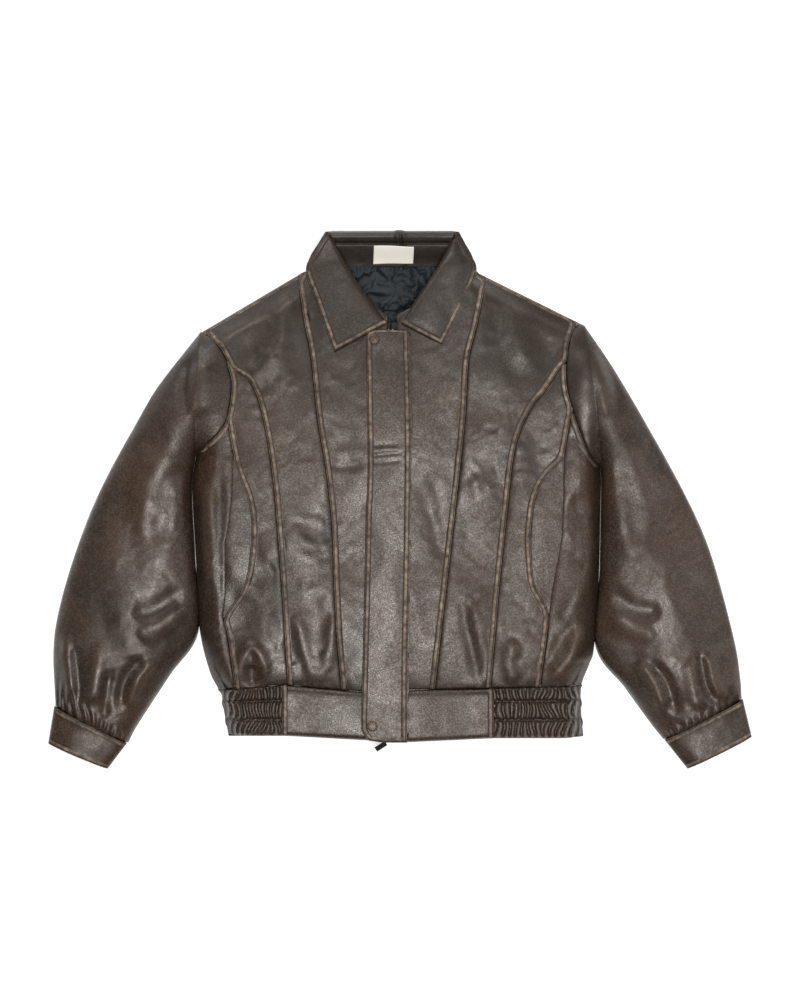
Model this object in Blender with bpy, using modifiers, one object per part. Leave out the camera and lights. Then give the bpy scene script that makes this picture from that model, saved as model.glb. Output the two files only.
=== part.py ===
"""Leather riding jacket lying flat on its back, front up, with the sleeves down beside the body.

Metres, +Z up, +Y towards the collar. The wearer's right side is at -X and the left side at +X.
The origin is at the middle of the floor area that the jacket covers. Every panel is its own solid:
a flat cut shape between two seams, lifted to the height that the padded front has there.
"""
import math

import bmesh
import bpy
from mathutils import Matrix, Vector

# Driving dimensions
LEATHER = 0.0016          # outer leather with its backing
LINING = 0.0008           # lining cloth
GAP = 0.0003              # half of the slit between two panels sewn side by side
ROW_PITCH = 0.024         # spacing of the cross rows that all body panels share
SHORTEST_ROW = 0.003      # rows nearer to a panel's end than this are left out
POCKET_SLIT = 0.0008      # half of the slit at a pocket's mouth
FACING_THICK = 0.0012     # facing leather
LINING_CLEAR = 0.0006     # air between the back and its lining
BACK_TOP = LEATHER        # top of the back, which lies on the floor
EDGE_LOW = 0.0020         # underside of the front where it meets the back
FRONT_HEIGHT = 0.038      # top of the front over the padded back
SIDE_ROLL = 0.034         # width over which the front rounds down to the floor
SLEEVE_HEIGHT = 0.042     # top of a sleeve
CUFF_HEIGHT = 0.032       # top of a cuff
HEM_SEAM = -0.262         # seam between the body and the waistband
BAND_END = -0.337         # lower edge of the waistband in front
BACK_BAND_END = -0.333    # lower edge of the waistband behind
ELASTIC_BAND_END = -0.331
LINING_HEM = -0.252       # lower edge of the lining, just above the hem seam
SHOULDER_LEVEL = 0.15     # above this level the front rounds down at the shoulder too
MIDDLE_TOP = 0.304        # tops of the panels, where the shoulder has come down to the back
CENTRE_TOP = 0.312
BACK_NECK = 0.323         # upper edge of the back
FACING_TOP = 0.0345       # top of the facings behind the zip
LINING_TOP = 0.0262       # top of the front lining
WING_TOP = 0.0412         # top of the collar wings lying on the fronts
WING_THICK = 0.0012
FLAP_LOW = 0.0440         # underside of the storm flap
COLLAR_TOP = 0.3775       # the collar's edge behind the neck
HINGE_HEIGHT = 0.0384     # fold line of the fronts, just above the leather

# The zip: its centre line, and the parts on it
ZIP_TOP = Vector((-0.0130, 0.247, 0.0))
ZIP_BOTTOM = Vector((-0.0196, -0.337, 0.0))
TOOTH_LOW = 0.0336
TOOTH_TOP = 0.0370
TAPE_TOP = 0.0358
TOOTH_OFFSET = 0.0032     # from the zip's centre line to the middle of a row of teeth
SET_BACK = {"right": 0.0052, "left": 0.0096}    # from the centre line to the leather's edge
SNAP_PLACES = {"upper": (-0.0360, 0.2240), "lower": (-0.0385, -0.3150)}

# Seams, from the shoulder down, as (x, y) on the flat jacket. Right is the wearer's right, at -X.
SHOULDER = {"right": ((-0.279, 0.237), (-0.133, 0.3235)), "left": ((0.254, 0.249), (0.109, 0.3206))}
ARMHOLE = {
    "right": ((-0.279, 0.237), (-0.258, 0.221), (-0.240, 0.184), (-0.235, 0.160), (-0.242, 0.113),
              (-0.258, 0.089), (-0.287, 0.066)),
    "left": ((0.254, 0.249), (0.242, 0.237), (0.234, 0.204), (0.233, 0.162), (0.242, 0.124),
             (0.262, 0.071), (0.283, 0.045)),
}
SIDE_EDGE = {
    "right": ((-0.287, 0.066), (-0.293, 0.017), (-0.288, -0.085), (-0.283, -0.180), (-0.269, -0.239),
              (-0.254, -0.267), (-0.241, -0.337)),
    "left": ((0.283, 0.045), (0.283, 0.017), (0.281, -0.100), (0.274, -0.206), (0.267, -0.232),
             (0.256, -0.262), (0.259, -0.337)),
}
INNER_SEAM = {
    "right": ((-0.146, 0.330), (-0.135, 0.254), (-0.125, 0.202), (-0.115, 0.111), (-0.105, 0.052),
              (-0.096, -0.026), (-0.092, -0.124), (-0.088, -0.197), (-0.082, -0.262)),
    "left": ((0.124, 0.330), (0.110, 0.254), (0.096, 0.195), (0.092, 0.124), (0.086, 0.062),
             (0.073, -0.055), (0.063, -0.141), (0.057, -0.193), (0.049, -0.262)),
}
OUTER_SEAM = {
    "right": ((-0.235, 0.184), (-0.216, 0.1715), (-0.202, 0.150), (-0.192, 0.117), (-0.182, 0.062),
              (-0.174, -0.006), (-0.164, -0.141), (-0.157, -0.262)),
    "left": ((0.233, 0.196), (0.222, 0.181), (0.205, 0.155), (0.182, 0.125), (0.161, 0.072),
             (0.149, -0.026), (0.137, -0.143), (0.127, -0.262)),
}
POCKET_SEAM = {
    "right": ((-0.242, 0.116), (-0.232, 0.060), (-0.224, 0.033), (-0.212, 0.001), (-0.207, -0.036),
              (-0.210, -0.085), (-0.220, -0.124), (-0.245, -0.164), (-0.241, -0.190), (-0.231, -0.262)),
    "left": ((0.240, 0.122), (0.236, 0.101), (0.227, 0.058), (0.204, 0.033), (0.189, 0.001),
             (0.183, -0.045), (0.184, -0.085), (0.189, -0.120), (0.207, -0.157), (0.204, -0.200),
             (0.196, -0.262)),
}
POCKET_MOUTH = {
    "right": ((-0.242, 0.116), (-0.233, 0.060), (-0.237, -0.022), (-0.244, -0.065), (-0.244, -0.132),
              (-0.247, -0.164), (-0.242, -0.190), (-0.232, -0.262)),
    "left": ((0.240, 0.122), (0.236, 0.101), (0.229, 0.052), (0.228, -0.016), (0.224, -0.065),
             (0.213, -0.124), (0.209, -0.157), (0.205, -0.200), (0.197, -0.262)),
}
SLEEVE_OUTER = {
    "right": ((-0.281, 0.237), (-0.337, 0.166), (-0.365, 0.121), (-0.419, 0.022), (-0.452, -0.057),
              (-0.479, -0.145), (-0.489, -0.209), (-0.486, -0.288)),
    "left": ((0.260, 0.246), (0.302, 0.184), (0.350, 0.103), (0.400, 0.012), (0.437, -0.071),
             (0.470, -0.190), (0.480, -0.250), (0.482, -0.278)),
}
SLEEVE_INNER = {
    "right": ((-0.2905, 0.064), (-0.2985, 0.010), (-0.2935, -0.085), (-0.2885, -0.180), (-0.325, -0.247),
              (-0.370, -0.316), (-0.384, -0.340)),
    "left": ((0.2875, 0.045), (0.2885, 0.010), (0.2865, -0.100), (0.2795, -0.2065), (0.318, -0.265),
             (0.352, -0.312), (0.372, -0.335)),
}
CUFF_END = {"right": ((-0.4945, -0.342), (-0.411, -0.3775)), "left": ((0.4945, -0.3325), (0.404, -0.3775))}
ROLL_LINE = {
    "right": ((-0.099, 0.376), (-0.082, 0.342), (-0.064, 0.311), (-0.040, 0.277), (-0.017, 0.246)),
    "left": ((0.077, 0.376), (0.064, 0.347), (0.051, 0.323), (0.022, 0.280), (0.000, 0.246)),
}
WING_EDGE = {
    "right": ((-0.106, 0.376), (-0.133, 0.323), (-0.116, 0.274), (-0.092, 0.206)),
    "left": ((0.084, 0.376), (0.108, 0.322), (0.088, 0.274), (0.059, 0.215)),
}

# Where the elastic part of the waistband ends, and the levels of the pocket facings
ELASTIC_END = {"right": -0.165, "left": 0.131}
POCKET_LEVELS = (-0.142, 0.036)

BROWN = (0.055, 0.040, 0.031)
SLATE = (0.035, 0.050, 0.060)
STEEL = (0.55, 0.55, 0.56)
GUNMETAL = (0.14, 0.14, 0.15)


def clear_scene():
    for old in list(bpy.data.objects):
        bpy.data.objects.remove(old, do_unlink=True)


def collection(name):
    group = bpy.data.collections.new(name)
    bpy.context.scene.collection.children.link(group)
    return group


def material(name, colour, roughness, metallic=0.0):
    finish = bpy.data.materials.new(name)
    finish.use_nodes = True
    shader = finish.node_tree.nodes["Principled BSDF"]
    shader.inputs["Base Color"].default_value = (*colour, 1.0)
    shader.inputs["Roughness"].default_value = roughness
    shader.inputs["Metallic"].default_value = metallic
    return finish


def leather(node):
    return material(node + "_leather", BROWN, roughness=0.45)


def cloth(node):
    return material(node + "_cloth", SLATE, roughness=0.8)


def metal(node, colour=STEEL):
    return material(node + "_metal", colour, roughness=0.3, metallic=1.0)


def smooth_step(value):
    value = min(max(value, 0.0), 1.0)
    return value * value * (3.0 - 2.0 * value)


def spline_point(points, t):
    """A point at the share t of a smooth curve through the given points."""
    spans = len(points) - 1
    place = min(max(t, 0.0), 1.0) * spans
    i = min(int(place), spans - 1)
    s = place - i
    p1, p2 = Vector(points[i]), Vector(points[i + 1])
    p0 = Vector(points[i - 1]) if i > 0 else p1 * 2.0 - p2
    p3 = Vector(points[i + 2]) if i + 2 <= spans else p2 * 2.0 - p1
    return 0.5 * (2.0 * p1 + (p2 - p0) * s + (2.0 * p0 - 5.0 * p1 + 4.0 * p2 - p3) * s * s
                  + (3.0 * p1 - 3.0 * p2 + p3 - p0) * s ** 3)


def seam_x(points, y):
    """The x of a seam at height y on the jacket, straight between the shared rows."""
    low_row = math.floor(y / ROW_PITCH) * ROW_PITCH
    low, high = crossing(points, low_row), crossing(points, low_row + ROW_PITCH)
    return low + (high - low) * (y - low_row) / ROW_PITCH


def crossing(points, y):
    """Where a seam through the given points crosses the level y."""
    ordered = sorted(points, key=lambda point: point[1])
    if y <= ordered[0][1]:
        return ordered[0][0]
    for (x0, y0), (x1, y1) in zip(ordered, ordered[1:]):
        if y <= y1:
            return x0 + (x1 - x0) * (y - y0) / max(y1 - y0, 1e-9)
    return ordered[-1][0]


def rows_between(low, high):
    """The shared rows that lie between two levels, with both ends."""
    first = math.floor(low / ROW_PITCH) + 1
    inside = [i * ROW_PITCH for i in range(first, math.ceil(high / ROW_PITCH))]
    return [low] + [y for y in inside if min(y - low, high - y) > SHORTEST_ROW] + [high]


def sheet_solid(name, columns, rows, place, thickness, finish, sharp=math.radians(50)):
    """A grid whose points go where place(across, row) says, thickened straight down."""
    bpy.ops.mesh.primitive_grid_add(x_subdivisions=columns, y_subdivisions=rows, size=2.0)
    obj = bpy.context.object
    obj.name = name
    mesh = obj.data
    mesh.name = name
    for vertex in mesh.vertices:
        across = (vertex.co.x + 1.0) / 2.0
        along = (vertex.co.y + 1.0) / 2.0 * rows
        vertex.co = place(across, along)
    shape = bmesh.new()
    shape.from_mesh(mesh)
    grown = bmesh.ops.extrude_face_region(shape, geom=shape.faces[:])
    lower = [item for item in grown["geom"] if isinstance(item, bmesh.types.BMVert)]
    bmesh.ops.translate(shape, vec=(0.0, 0.0, -thickness), verts=lower)
    bmesh.ops.recalc_face_normals(shape, faces=shape.faces[:])
    shape.to_mesh(mesh)
    shape.free()
    mesh.shade_smooth()
    mesh.set_sharp_from_angle(angle=sharp)
    return finish_node(obj, finish)


def finish_node(obj, finish):
    obj.data.materials.clear()
    obj.data.materials.append(finish)
    for group in list(obj.users_collection):
        group.objects.unlink(obj)
    JACKET.objects.link(obj)
    return obj


def edge_distance(point, line):
    """How far a point lies inside a straight edge given by two points."""
    start, end = Vector(line[0]), Vector(line[1])
    along = (end - start).normalized()
    offset = Vector(point) - start
    return abs(offset.x * along.y - offset.y * along.x)


def roll(distance):
    """The rise of a rounded edge, from 0 on the edge to 1 a roll's width inside it."""
    return math.sin(min(max(distance / SIDE_ROLL, 0.0), 1.0) * math.pi / 2.0)


def front_z(x, y):
    """The top of the outer leather over the body."""
    side = "right" if x < 0.0 else "left"
    rise = roll(abs(seam_x(SIDE_EDGE[side], y)) - abs(x))
    if y > SHOULDER_LEVEL:
        rise = min(rise, roll(edge_distance((x, y), SHOULDER[side])))
    return EDGE_LOW + LEATHER + (FRONT_HEIGHT - EDGE_LOW - LEATHER) * rise


def body_panel(name, outer, inner, low, high, columns, finish, height=front_z, thickness=LEATHER, slit=GAP):
    """A panel of the body between the curves outer(y) and inner(y), x growing from one to the other."""
    levels = rows_between(low, high)

    def place(across, along):
        y = levels[min(int(round(along)), len(levels) - 1)]
        left, right = sorted((outer(y), inner(y)))
        x = left + slit + (right - left - 2.0 * slit) * across
        return Vector((x, y, height(x, y)))

    return sheet_solid(name, columns, len(levels) - 1, place, thickness, finish)


def seam(points):
    return lambda y: seam_x(points, y)


def fold_x(side, y):
    """The straight fold line that a front turns about, just outside its inner seam."""
    top, bottom = FOLD[side]
    share = (y - bottom.y) / (top.y - bottom.y)
    return bottom.x + (top.x - bottom.x) * share


def zip_x(y):
    share = (y - ZIP_BOTTOM.y) / (ZIP_TOP.y - ZIP_BOTTOM.y)
    return ZIP_BOTTOM.x + (ZIP_TOP.x - ZIP_BOTTOM.x) * share


FOLD = {
    "right": (Vector((-0.1490, 0.330, HINGE_HEIGHT)), Vector((-0.0825, -0.262, HINGE_HEIGHT))),
    "left": (Vector((0.1265, 0.330, HINGE_HEIGHT)), Vector((0.0495, -0.262, HINGE_HEIGHT))),
}


def make_back():
    """The back and its waistband lie flat on the floor, with the lining above."""
    def right_edge(y):
        return back_outline_x("right", y)

    def left_edge(y):
        return back_outline_x("left", y)

    def floor_level(x, y):
        return BACK_TOP

    def lining_level(x, y):
        return BACK_TOP + LINING_CLEAR + LINING

    body_panel("back_panel", right_edge, left_edge, HEM_SEAM + GAP, BACK_NECK, 6, leather("back"),
               floor_level)
    body_panel("waistband_back", right_edge, left_edge, BACK_BAND_END, HEM_SEAM - GAP, 6,
               leather("waistband_back"), floor_level)
    neck_inset, side_inset = 0.006, 0.009
    body_panel("lining_back", right_edge, left_edge, LINING_HEM, BACK_NECK - neck_inset, 6,
               cloth("lining_back"), lining_level, LINING, slit=side_inset)


def back_outline_x(side, y):
    """The outline of the back, which reaches out to the line that the sleeve folds on."""
    top, bottom = CHORD[side]
    if bottom.y < y < top.y:
        return bottom.x + (top.x - bottom.x) * (y - bottom.y) / (top.y - bottom.y)
    return outline_x(side, y)


def outline_x(side, y):
    """The outline of the front: side edge, then armhole, then shoulder."""
    if y <= ARMHOLE[side][-1][1]:
        return seam_x(SIDE_EDGE[side], y)
    if y <= ARMHOLE[side][0][1]:
        return seam_x(ARMHOLE[side], y)
    return seam_x(SHOULDER[side], y)


def make_front(side):
    """The fixed front panels of one side, from the princess seam outwards, and the pocket."""
    def middle_outer(y):
        if y <= OUTER_SEAM[side][0][1]:
            return seam_x(OUTER_SEAM[side], y)
        return outline_x(side, y)

    def side_outer(y):
        if y <= POCKET_SEAM[side][0][1]:
            return seam_x(POCKET_SEAM[side], y)
        return seam_x(ARMHOLE[side], y)

    inner = seam(INNER_SEAM[side])
    low = HEM_SEAM + GAP
    tip = math.floor(OUTER_SEAM[side][0][1] / ROW_PITCH) * ROW_PITCH
    body_panel("front_middle_" + side, middle_outer, inner, low, MIDDLE_TOP, 5, leather("front_middle"))
    body_panel("front_side_" + side, side_outer, seam(OUTER_SEAM[side]), low, tip,
               3, leather("front_side"))
    tip_clear, facing_slit = 0.010, 0.0006
    body_panel("side_panel_" + side, lambda y: outline_x(side, y), seam(POCKET_MOUTH[side]), low,
               POCKET_MOUTH[side][0][1] - tip_clear, 7, leather("side_panel"), slit=POCKET_SLIT)
    body_panel("pocket_facing_" + side, seam(POCKET_MOUTH[side]), seam(POCKET_SEAM[side]), *POCKET_LEVELS,
               2, leather("pocket_facing"), slit=facing_slit)

    sign = -1.0 if side == "right" else 1.0
    side_inset, fold_inset, lining_end = 0.026, 0.004, 0.216
    body_panel("lining_front_" + side, lambda y: outline_x(side, y) - sign * side_inset,
               lambda y: fold_x(side, y) + sign * fold_inset, LINING_HEM, lining_end, 3,
               cloth("lining_front"), lambda x, y: LINING_TOP, LINING)
    make_pocket_bag(side, sign)
    make_sleeve_head(side, sign)


def make_pocket_bag(side, sign):
    """A flat pouch behind the front, open towards the pocket mouth."""
    inner_end, mouth_end = 0.150, 0.221
    low, high = 0.0272, 0.0348
    mouth_shift = 0.004
    y_low, y_high = -0.150, 0.030
    centre = Vector((sign * (inner_end + mouth_end) / 2.0, (y_low + y_high) / 2.0, (low + high) / 2.0))
    size = Vector((mouth_end - inner_end, y_high - y_low, high - low))
    bag = box("pocket_bag_" + side, centre, size, cloth("pocket_bag"))
    hollow = box("pocket_hollow_" + side, centre + Vector((sign * mouth_shift, 0.0, 0.0)),
                 size - Vector((0.0, 2.0 * LINING, 2.0 * LINING)), cloth("pocket_hollow"))
    cut(bag, hollow)


def make_sleeve_head(side, sign):
    """The part of the sleeve between the armhole seam and the line that the sleeve folds on."""
    top, bottom = CHORD[side]
    seam_clear, bottom_clear, top_clear = 0.0006, 0.022, 0.010

    def chord_x(y):
        return bottom.x + (top.x - bottom.x) * (y - bottom.y) / (top.y - bottom.y)

    def head_z(x, y):
        share = min(max((top.y - y) / (top.y - bottom.y), 0.0), 1.0)
        return EDGE_LOW + LEATHER + (SLEEVE_HEIGHT - EDGE_LOW - LEATHER) * math.sin(math.pi * share) ** 0.5

    body_panel("sleeve_head_" + side, chord_x, lambda y: seam_x(ARMHOLE[side], y) + sign * seam_clear,
               bottom.y + bottom_clear, top.y - top_clear, 4, leather("sleeve_head"), head_z)


CHORD = {
    "right": (Vector((-0.2790, 0.2370)), Vector((-0.2888, 0.0650))),
    "left": (Vector((0.2585, 0.2470)), Vector((0.2860, 0.0450))),
}


def box(name, centre, size, finish, turn=0.0):
    bpy.ops.mesh.primitive_cube_add(size=1.0)
    obj = bpy.context.object
    obj.name = name
    obj.data.name = name
    obj.data.transform(Matrix.Diagonal((*size, 1.0)))
    obj.location = centre
    obj.rotation_euler = (0.0, 0.0, turn)
    return finish_node(obj, finish)


def cut(obj, cutter):
    """Takes the cutter's shape out of an object and puts the cutter away."""
    for group in list(cutter.users_collection):
        group.objects.unlink(cutter)
    CUTTERS.objects.link(cutter)
    cutter.hide_render = True
    cutter.display_type = "WIRE"
    opening = obj.modifiers.new("opening", "BOOLEAN")
    opening.operation = "DIFFERENCE"
    opening.object = cutter


def make_centre_front(side):
    """The part of a front that folds open: leather, facing, zip side, and end of the waistband."""
    sign = -1.0 if side == "right" else 1.0
    set_back = SET_BACK[side]
    edge_top, seam_inset = 0.316, 0.010
    facing_inset, facing_drop, facing_end = 0.006, 0.060, 0.264

    def edge(y):
        neck_end = ROLL_LINE[side][-1]
        shoulder_end = INNER_SEAM[side][0]
        if y <= neck_end[1]:
            return zip_x(y) + sign * set_back
        share = (y - neck_end[1]) / (edge_top - neck_end[1])
        start = zip_x(neck_end[1]) + sign * set_back
        return start + (shoulder_end[0] - sign * seam_inset - start) * share

    inner = seam(INNER_SEAM[side])
    body_panel("front_centre_" + side, inner, edge, HEM_SEAM + GAP, CENTRE_TOP, 4, leather("front_centre"))
    body_panel("facing_" + side, lambda y: inner(y) - sign * facing_inset, edge, HEM_SEAM - facing_drop,
               facing_end, 3, leather("facing"), lambda x, y: FACING_TOP, FACING_THICK)
    make_zip_side(side, sign)
    make_collar_wing(side, sign)


def make_waistband(side):
    """The front of the waistband: a shirred elastic, a flat band, and the end that folds with the front."""
    sign = -1.0 if side == "right" else 1.0
    high = HEM_SEAM - GAP
    fold = FOLD[side][1].x
    fixed_clear, turning_clear, end_rise = 0.0010, 0.0006, 0.004
    body_panel("waistband_elastic_" + side, seam(SIDE_EDGE[side]), lambda y: ELASTIC_END[side],
               ELASTIC_BAND_END, high, 8, leather("waistband_elastic"))
    body_panel("waistband_front_" + side, lambda y: ELASTIC_END[side], lambda y: fold + sign * fixed_clear,
               BAND_END + end_rise, high, 3, leather("waistband_front"))
    body_panel("waistband_end_" + side, lambda y: fold - sign * turning_clear,
               lambda y: zip_x(y) + sign * SET_BACK[side], BAND_END, high, 2, leather("waistband_end"))


def make_zip_side(side, sign):
    """One half of the zip: tape, teeth, top stop, and the pin or box at the bottom."""
    direction = (ZIP_TOP - ZIP_BOTTOM).normalized()
    turn = math.atan2(-direction.x, direction.y)
    middle = (ZIP_TOP + ZIP_BOTTOM) / 2.0
    length = (ZIP_TOP - ZIP_BOTTOM).length

    def beside(offset, along, z):
        point = ZIP_BOTTOM + direction * along
        return Vector((point.x + sign * offset, point.y, z))

    tooth_z = (TOOTH_LOW + TOOTH_TOP) / 2.0
    tape_offset, tape_size = 0.0112, (0.0120, length - 0.020, LINING)
    teeth_size, teeth_shift = (0.0024, length - 0.030, TOOTH_TOP - TOOTH_LOW), 0.001
    stop_size, stop_from_top = (0.0030, 0.0060, 0.0040), 0.0110
    tape_centre = Vector((middle.x + sign * tape_offset, middle.y, TAPE_TOP - LINING / 2.0))
    box("zip_tape_" + side, tape_centre, tape_size, cloth("zip_tape"), turn)
    teeth = box("zip_teeth_" + side, beside(TOOTH_OFFSET, length / 2.0 - teeth_shift, tooth_z),
                teeth_size, metal("zip_teeth"), turn)
    add_bevel(teeth, width=0.0004)
    stop = box("top_stop_" + side, beside(TOOTH_OFFSET, length - stop_from_top, tooth_z), stop_size,
               metal("top_stop"), turn)
    add_bevel(stop, width=0.0008)
    if side == "right":
        pin_along, pin_size = 0.0060, (0.0020, 0.0140, 0.0024)
        pin = box("insertion_pin", beside(TOOTH_OFFSET, pin_along, tooth_z), pin_size,
                  metal("insertion_pin"), turn)
        add_bevel(pin, width=0.0005)
    else:
        box_offset, box_along, box_size = 0.0036, 0.0035, (0.0060, 0.0070, 0.0044)
        holder = box("retainer_box", beside(box_offset, box_along, tooth_z), box_size,
                     metal("retainer_box"), turn)
        add_bevel(holder, width=0.0006)


def add_bevel(obj, width):
    bevel = obj.modifiers.new("bevel", "BEVEL")
    bevel.width = width
    bevel.segments = 1


def make_collar_wing(side, sign):
    """A wing of the collar lying on its front: the top collar over the under collar."""
    steps = 10
    drop, drop_start, drop_length = 0.012, 0.325, 0.050
    air, under_inset = 0.0003, 0.0015

    def wing(name, top, finish, inset):
        def place(across, along):
            t = along / steps
            outer = spline_point(WING_EDGE[side], t)
            inner = spline_point(ROLL_LINE[side], t)
            outer.x -= sign * inset
            point = outer.lerp(inner, across)
            fall = drop * smooth_step((point.y - drop_start) / drop_length)
            return Vector((point.x, point.y, top - fall))
        return sheet_solid(name, 4, steps, place, WING_THICK, finish)

    wing("collar_wing_top_" + side, WING_TOP, leather("collar_wing_top"), 0.0)
    wing("collar_wing_under_" + side, WING_TOP - WING_THICK - air, leather("collar_wing_under"),
         under_inset)


def make_collar_back():
    """The stand inside the neck, and the fall that turns down behind it."""
    stand_low, stand_rise, stand_start, stand_length = 0.008, 0.019, 0.322, 0.054
    fall_low, fall_rise, fall_start, fall_length = 0.0030, 0.0215, 0.344, 0.036
    roll_clear, stand_levels = 0.003, (0.327, 0.3735)
    fall_ends, fall_level, fall_thick = (-0.096, 0.074), 0.346, 0.0024

    def stand_z(x, y):
        return stand_low + stand_rise * smooth_step((y - stand_start) / stand_length)

    def fall_z(x, y):
        return fall_low + fall_rise * smooth_step((y - fall_start) / fall_length)

    def stand_edge(side, sign):
        return lambda y: crossing(ROLL_LINE[side], y) - sign * roll_clear

    body_panel("collar_stand", stand_edge("right", -1.0), stand_edge("left", 1.0), *stand_levels, 6,
               leather("collar_stand"), stand_z)
    body_panel("collar_fall", lambda y: fall_ends[0], lambda y: fall_ends[1], fall_level, COLLAR_TOP, 6,
               leather("collar_fall"), fall_z, fall_thick)


def make_flap():
    """The storm flap over the zip: two leathers, sewn to the left front along a raised root."""
    free = ((-0.027, 0.2375), (-0.043, 0.229), (-0.0455, 0.215), (-0.044, 0.052), (-0.048, -0.060),
            (-0.050, -0.150), (-0.053, -0.258), (-0.0525, -0.322), (-0.043, -0.332))
    sewn = ((0.0095, 0.2375), (0.0125, 0.097), (0.0110, -0.040), (0.0090, -0.144), (0.0075, -0.218),
            (0.0075, -0.332))
    lining_top, outer_top = FLAP_LOW + 0.0010, FLAP_LOW + 0.0030
    lining_thick, lining_inset = 0.0010, 0.002
    root_start, root_end, root_clear = 0.0008, 0.0050, 0.0005
    cap_lift, socket_drop = 0.0034, 0.0004

    def strip(name, low, high, top, thick, inset, finish):
        body_panel(name, lambda y: crossing(free, y) + inset, lambda y: crossing(sewn, y), low, high, 4,
                   finish, lambda x, y: top, thick)

    strip("flap_lining", -0.329, 0.2330, lining_top, lining_thick, lining_inset, leather("flap_lining"))
    strip("flap_outer", -0.3345, 0.2375, outer_top, LEATHER, 0.0, leather("flap_outer"))
    body_panel("flap_root", lambda y: crossing(sewn, y) + root_start, lambda y: crossing(sewn, y) + root_end,
               -0.330, 0.232, 1, leather("flap_root"), lambda x, y: outer_top,
               outer_top - FRONT_HEIGHT - root_clear)
    for level, (x, y) in SNAP_PLACES.items():
        turned("snap_cap_" + level, ((0.0, 0.0024), (0.0045, 0.0020), (0.0068, 0.0010), (0.0075, 0.0)),
               (x, y, FLAP_LOW + cap_lift), metal("snap_cap", GUNMETAL))
        turned("snap_socket_" + level, ((0.0, 0.0), (0.0048, 0.0), (0.0048, -0.0012), (0.0026, -0.0013)),
               (x, y, FLAP_LOW - socket_drop), metal("snap_socket", GUNMETAL))
        turned("snap_stud_" + level, ((0.0, 0.0020), (0.0018, 0.0020), (0.0020, 0.0008), (0.0052, 0.0006),
                                      (0.0055, 0.0)),
               (x, y, front_z(x, y) + GAP), metal("snap_stud", GUNMETAL))


def turned(name, profile, place, finish):
    """A turned piece: the profile runs down its outer side, and the bottom closes on the axis."""
    outline = list(profile) + [(0.0, profile[-1][1])]
    mesh = bpy.data.meshes.new(name)
    points = [(radius, 0.0, height) for radius, height in outline]
    mesh.from_pydata(points, [(i, i + 1) for i in range(len(points) - 1)], [])
    obj = bpy.data.objects.new(name, mesh)
    JACKET.objects.link(obj)
    obj.location = place
    spin = obj.modifiers.new("turn", "SCREW")
    spin.steps = 16
    spin.render_steps = 16
    spin.use_merge_vertices = True
    spin.merge_threshold = 0.00005
    return finish_node(obj, finish)


def make_slider():
    """The zip's slider, a channel open towards the tape, and its pull tab."""
    along = 0.0155
    body_offset, body_height, body_size = 0.0036, 0.0360, (0.0100, 0.0150, 0.0088)
    channel_offset, channel_height, channel_size = 0.0074, 0.0354, (0.0116, 0.0300, 0.0046)
    tab_size, tab_reach, tab_direction = (0.0170, 0.0070, 0.0012), 0.0085, (-0.84, -0.54)
    direction = (ZIP_TOP - ZIP_BOTTOM).normalized()
    turn = math.atan2(-direction.x, direction.y)
    point = ZIP_BOTTOM + direction * along
    body = box("zip_slider", Vector((point.x + body_offset, point.y, body_height)), body_size,
               metal("zip_slider"), turn)
    channel = box("slider_channel", Vector((point.x + channel_offset, point.y, channel_height)),
                  channel_size, metal("slider_channel"), turn)
    cut(body, channel)
    tab_turn = math.atan2(tab_direction[1], tab_direction[0])
    tab_arm = Vector((math.cos(tab_turn), math.sin(tab_turn), 0.0)) * tab_reach
    tab = box("pull_tab", PULL_PIVOT + tab_arm, tab_size, metal("pull_tab", GUNMETAL), tab_turn)
    add_bevel(tab, width=0.0003)


PULL_PIVOT = Vector((-0.0195, -0.3390, 0.0415))


def sleeve_plan(side, u, v):
    """A point of the flat sleeve: u runs from the fold line to the cuff seam, v from its outer side in."""
    outer = spline_point(SLEEVE_OUTER[side], u)
    inner = spline_point(SLEEVE_INNER[side], u)
    return outer.lerp(inner, v)


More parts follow.
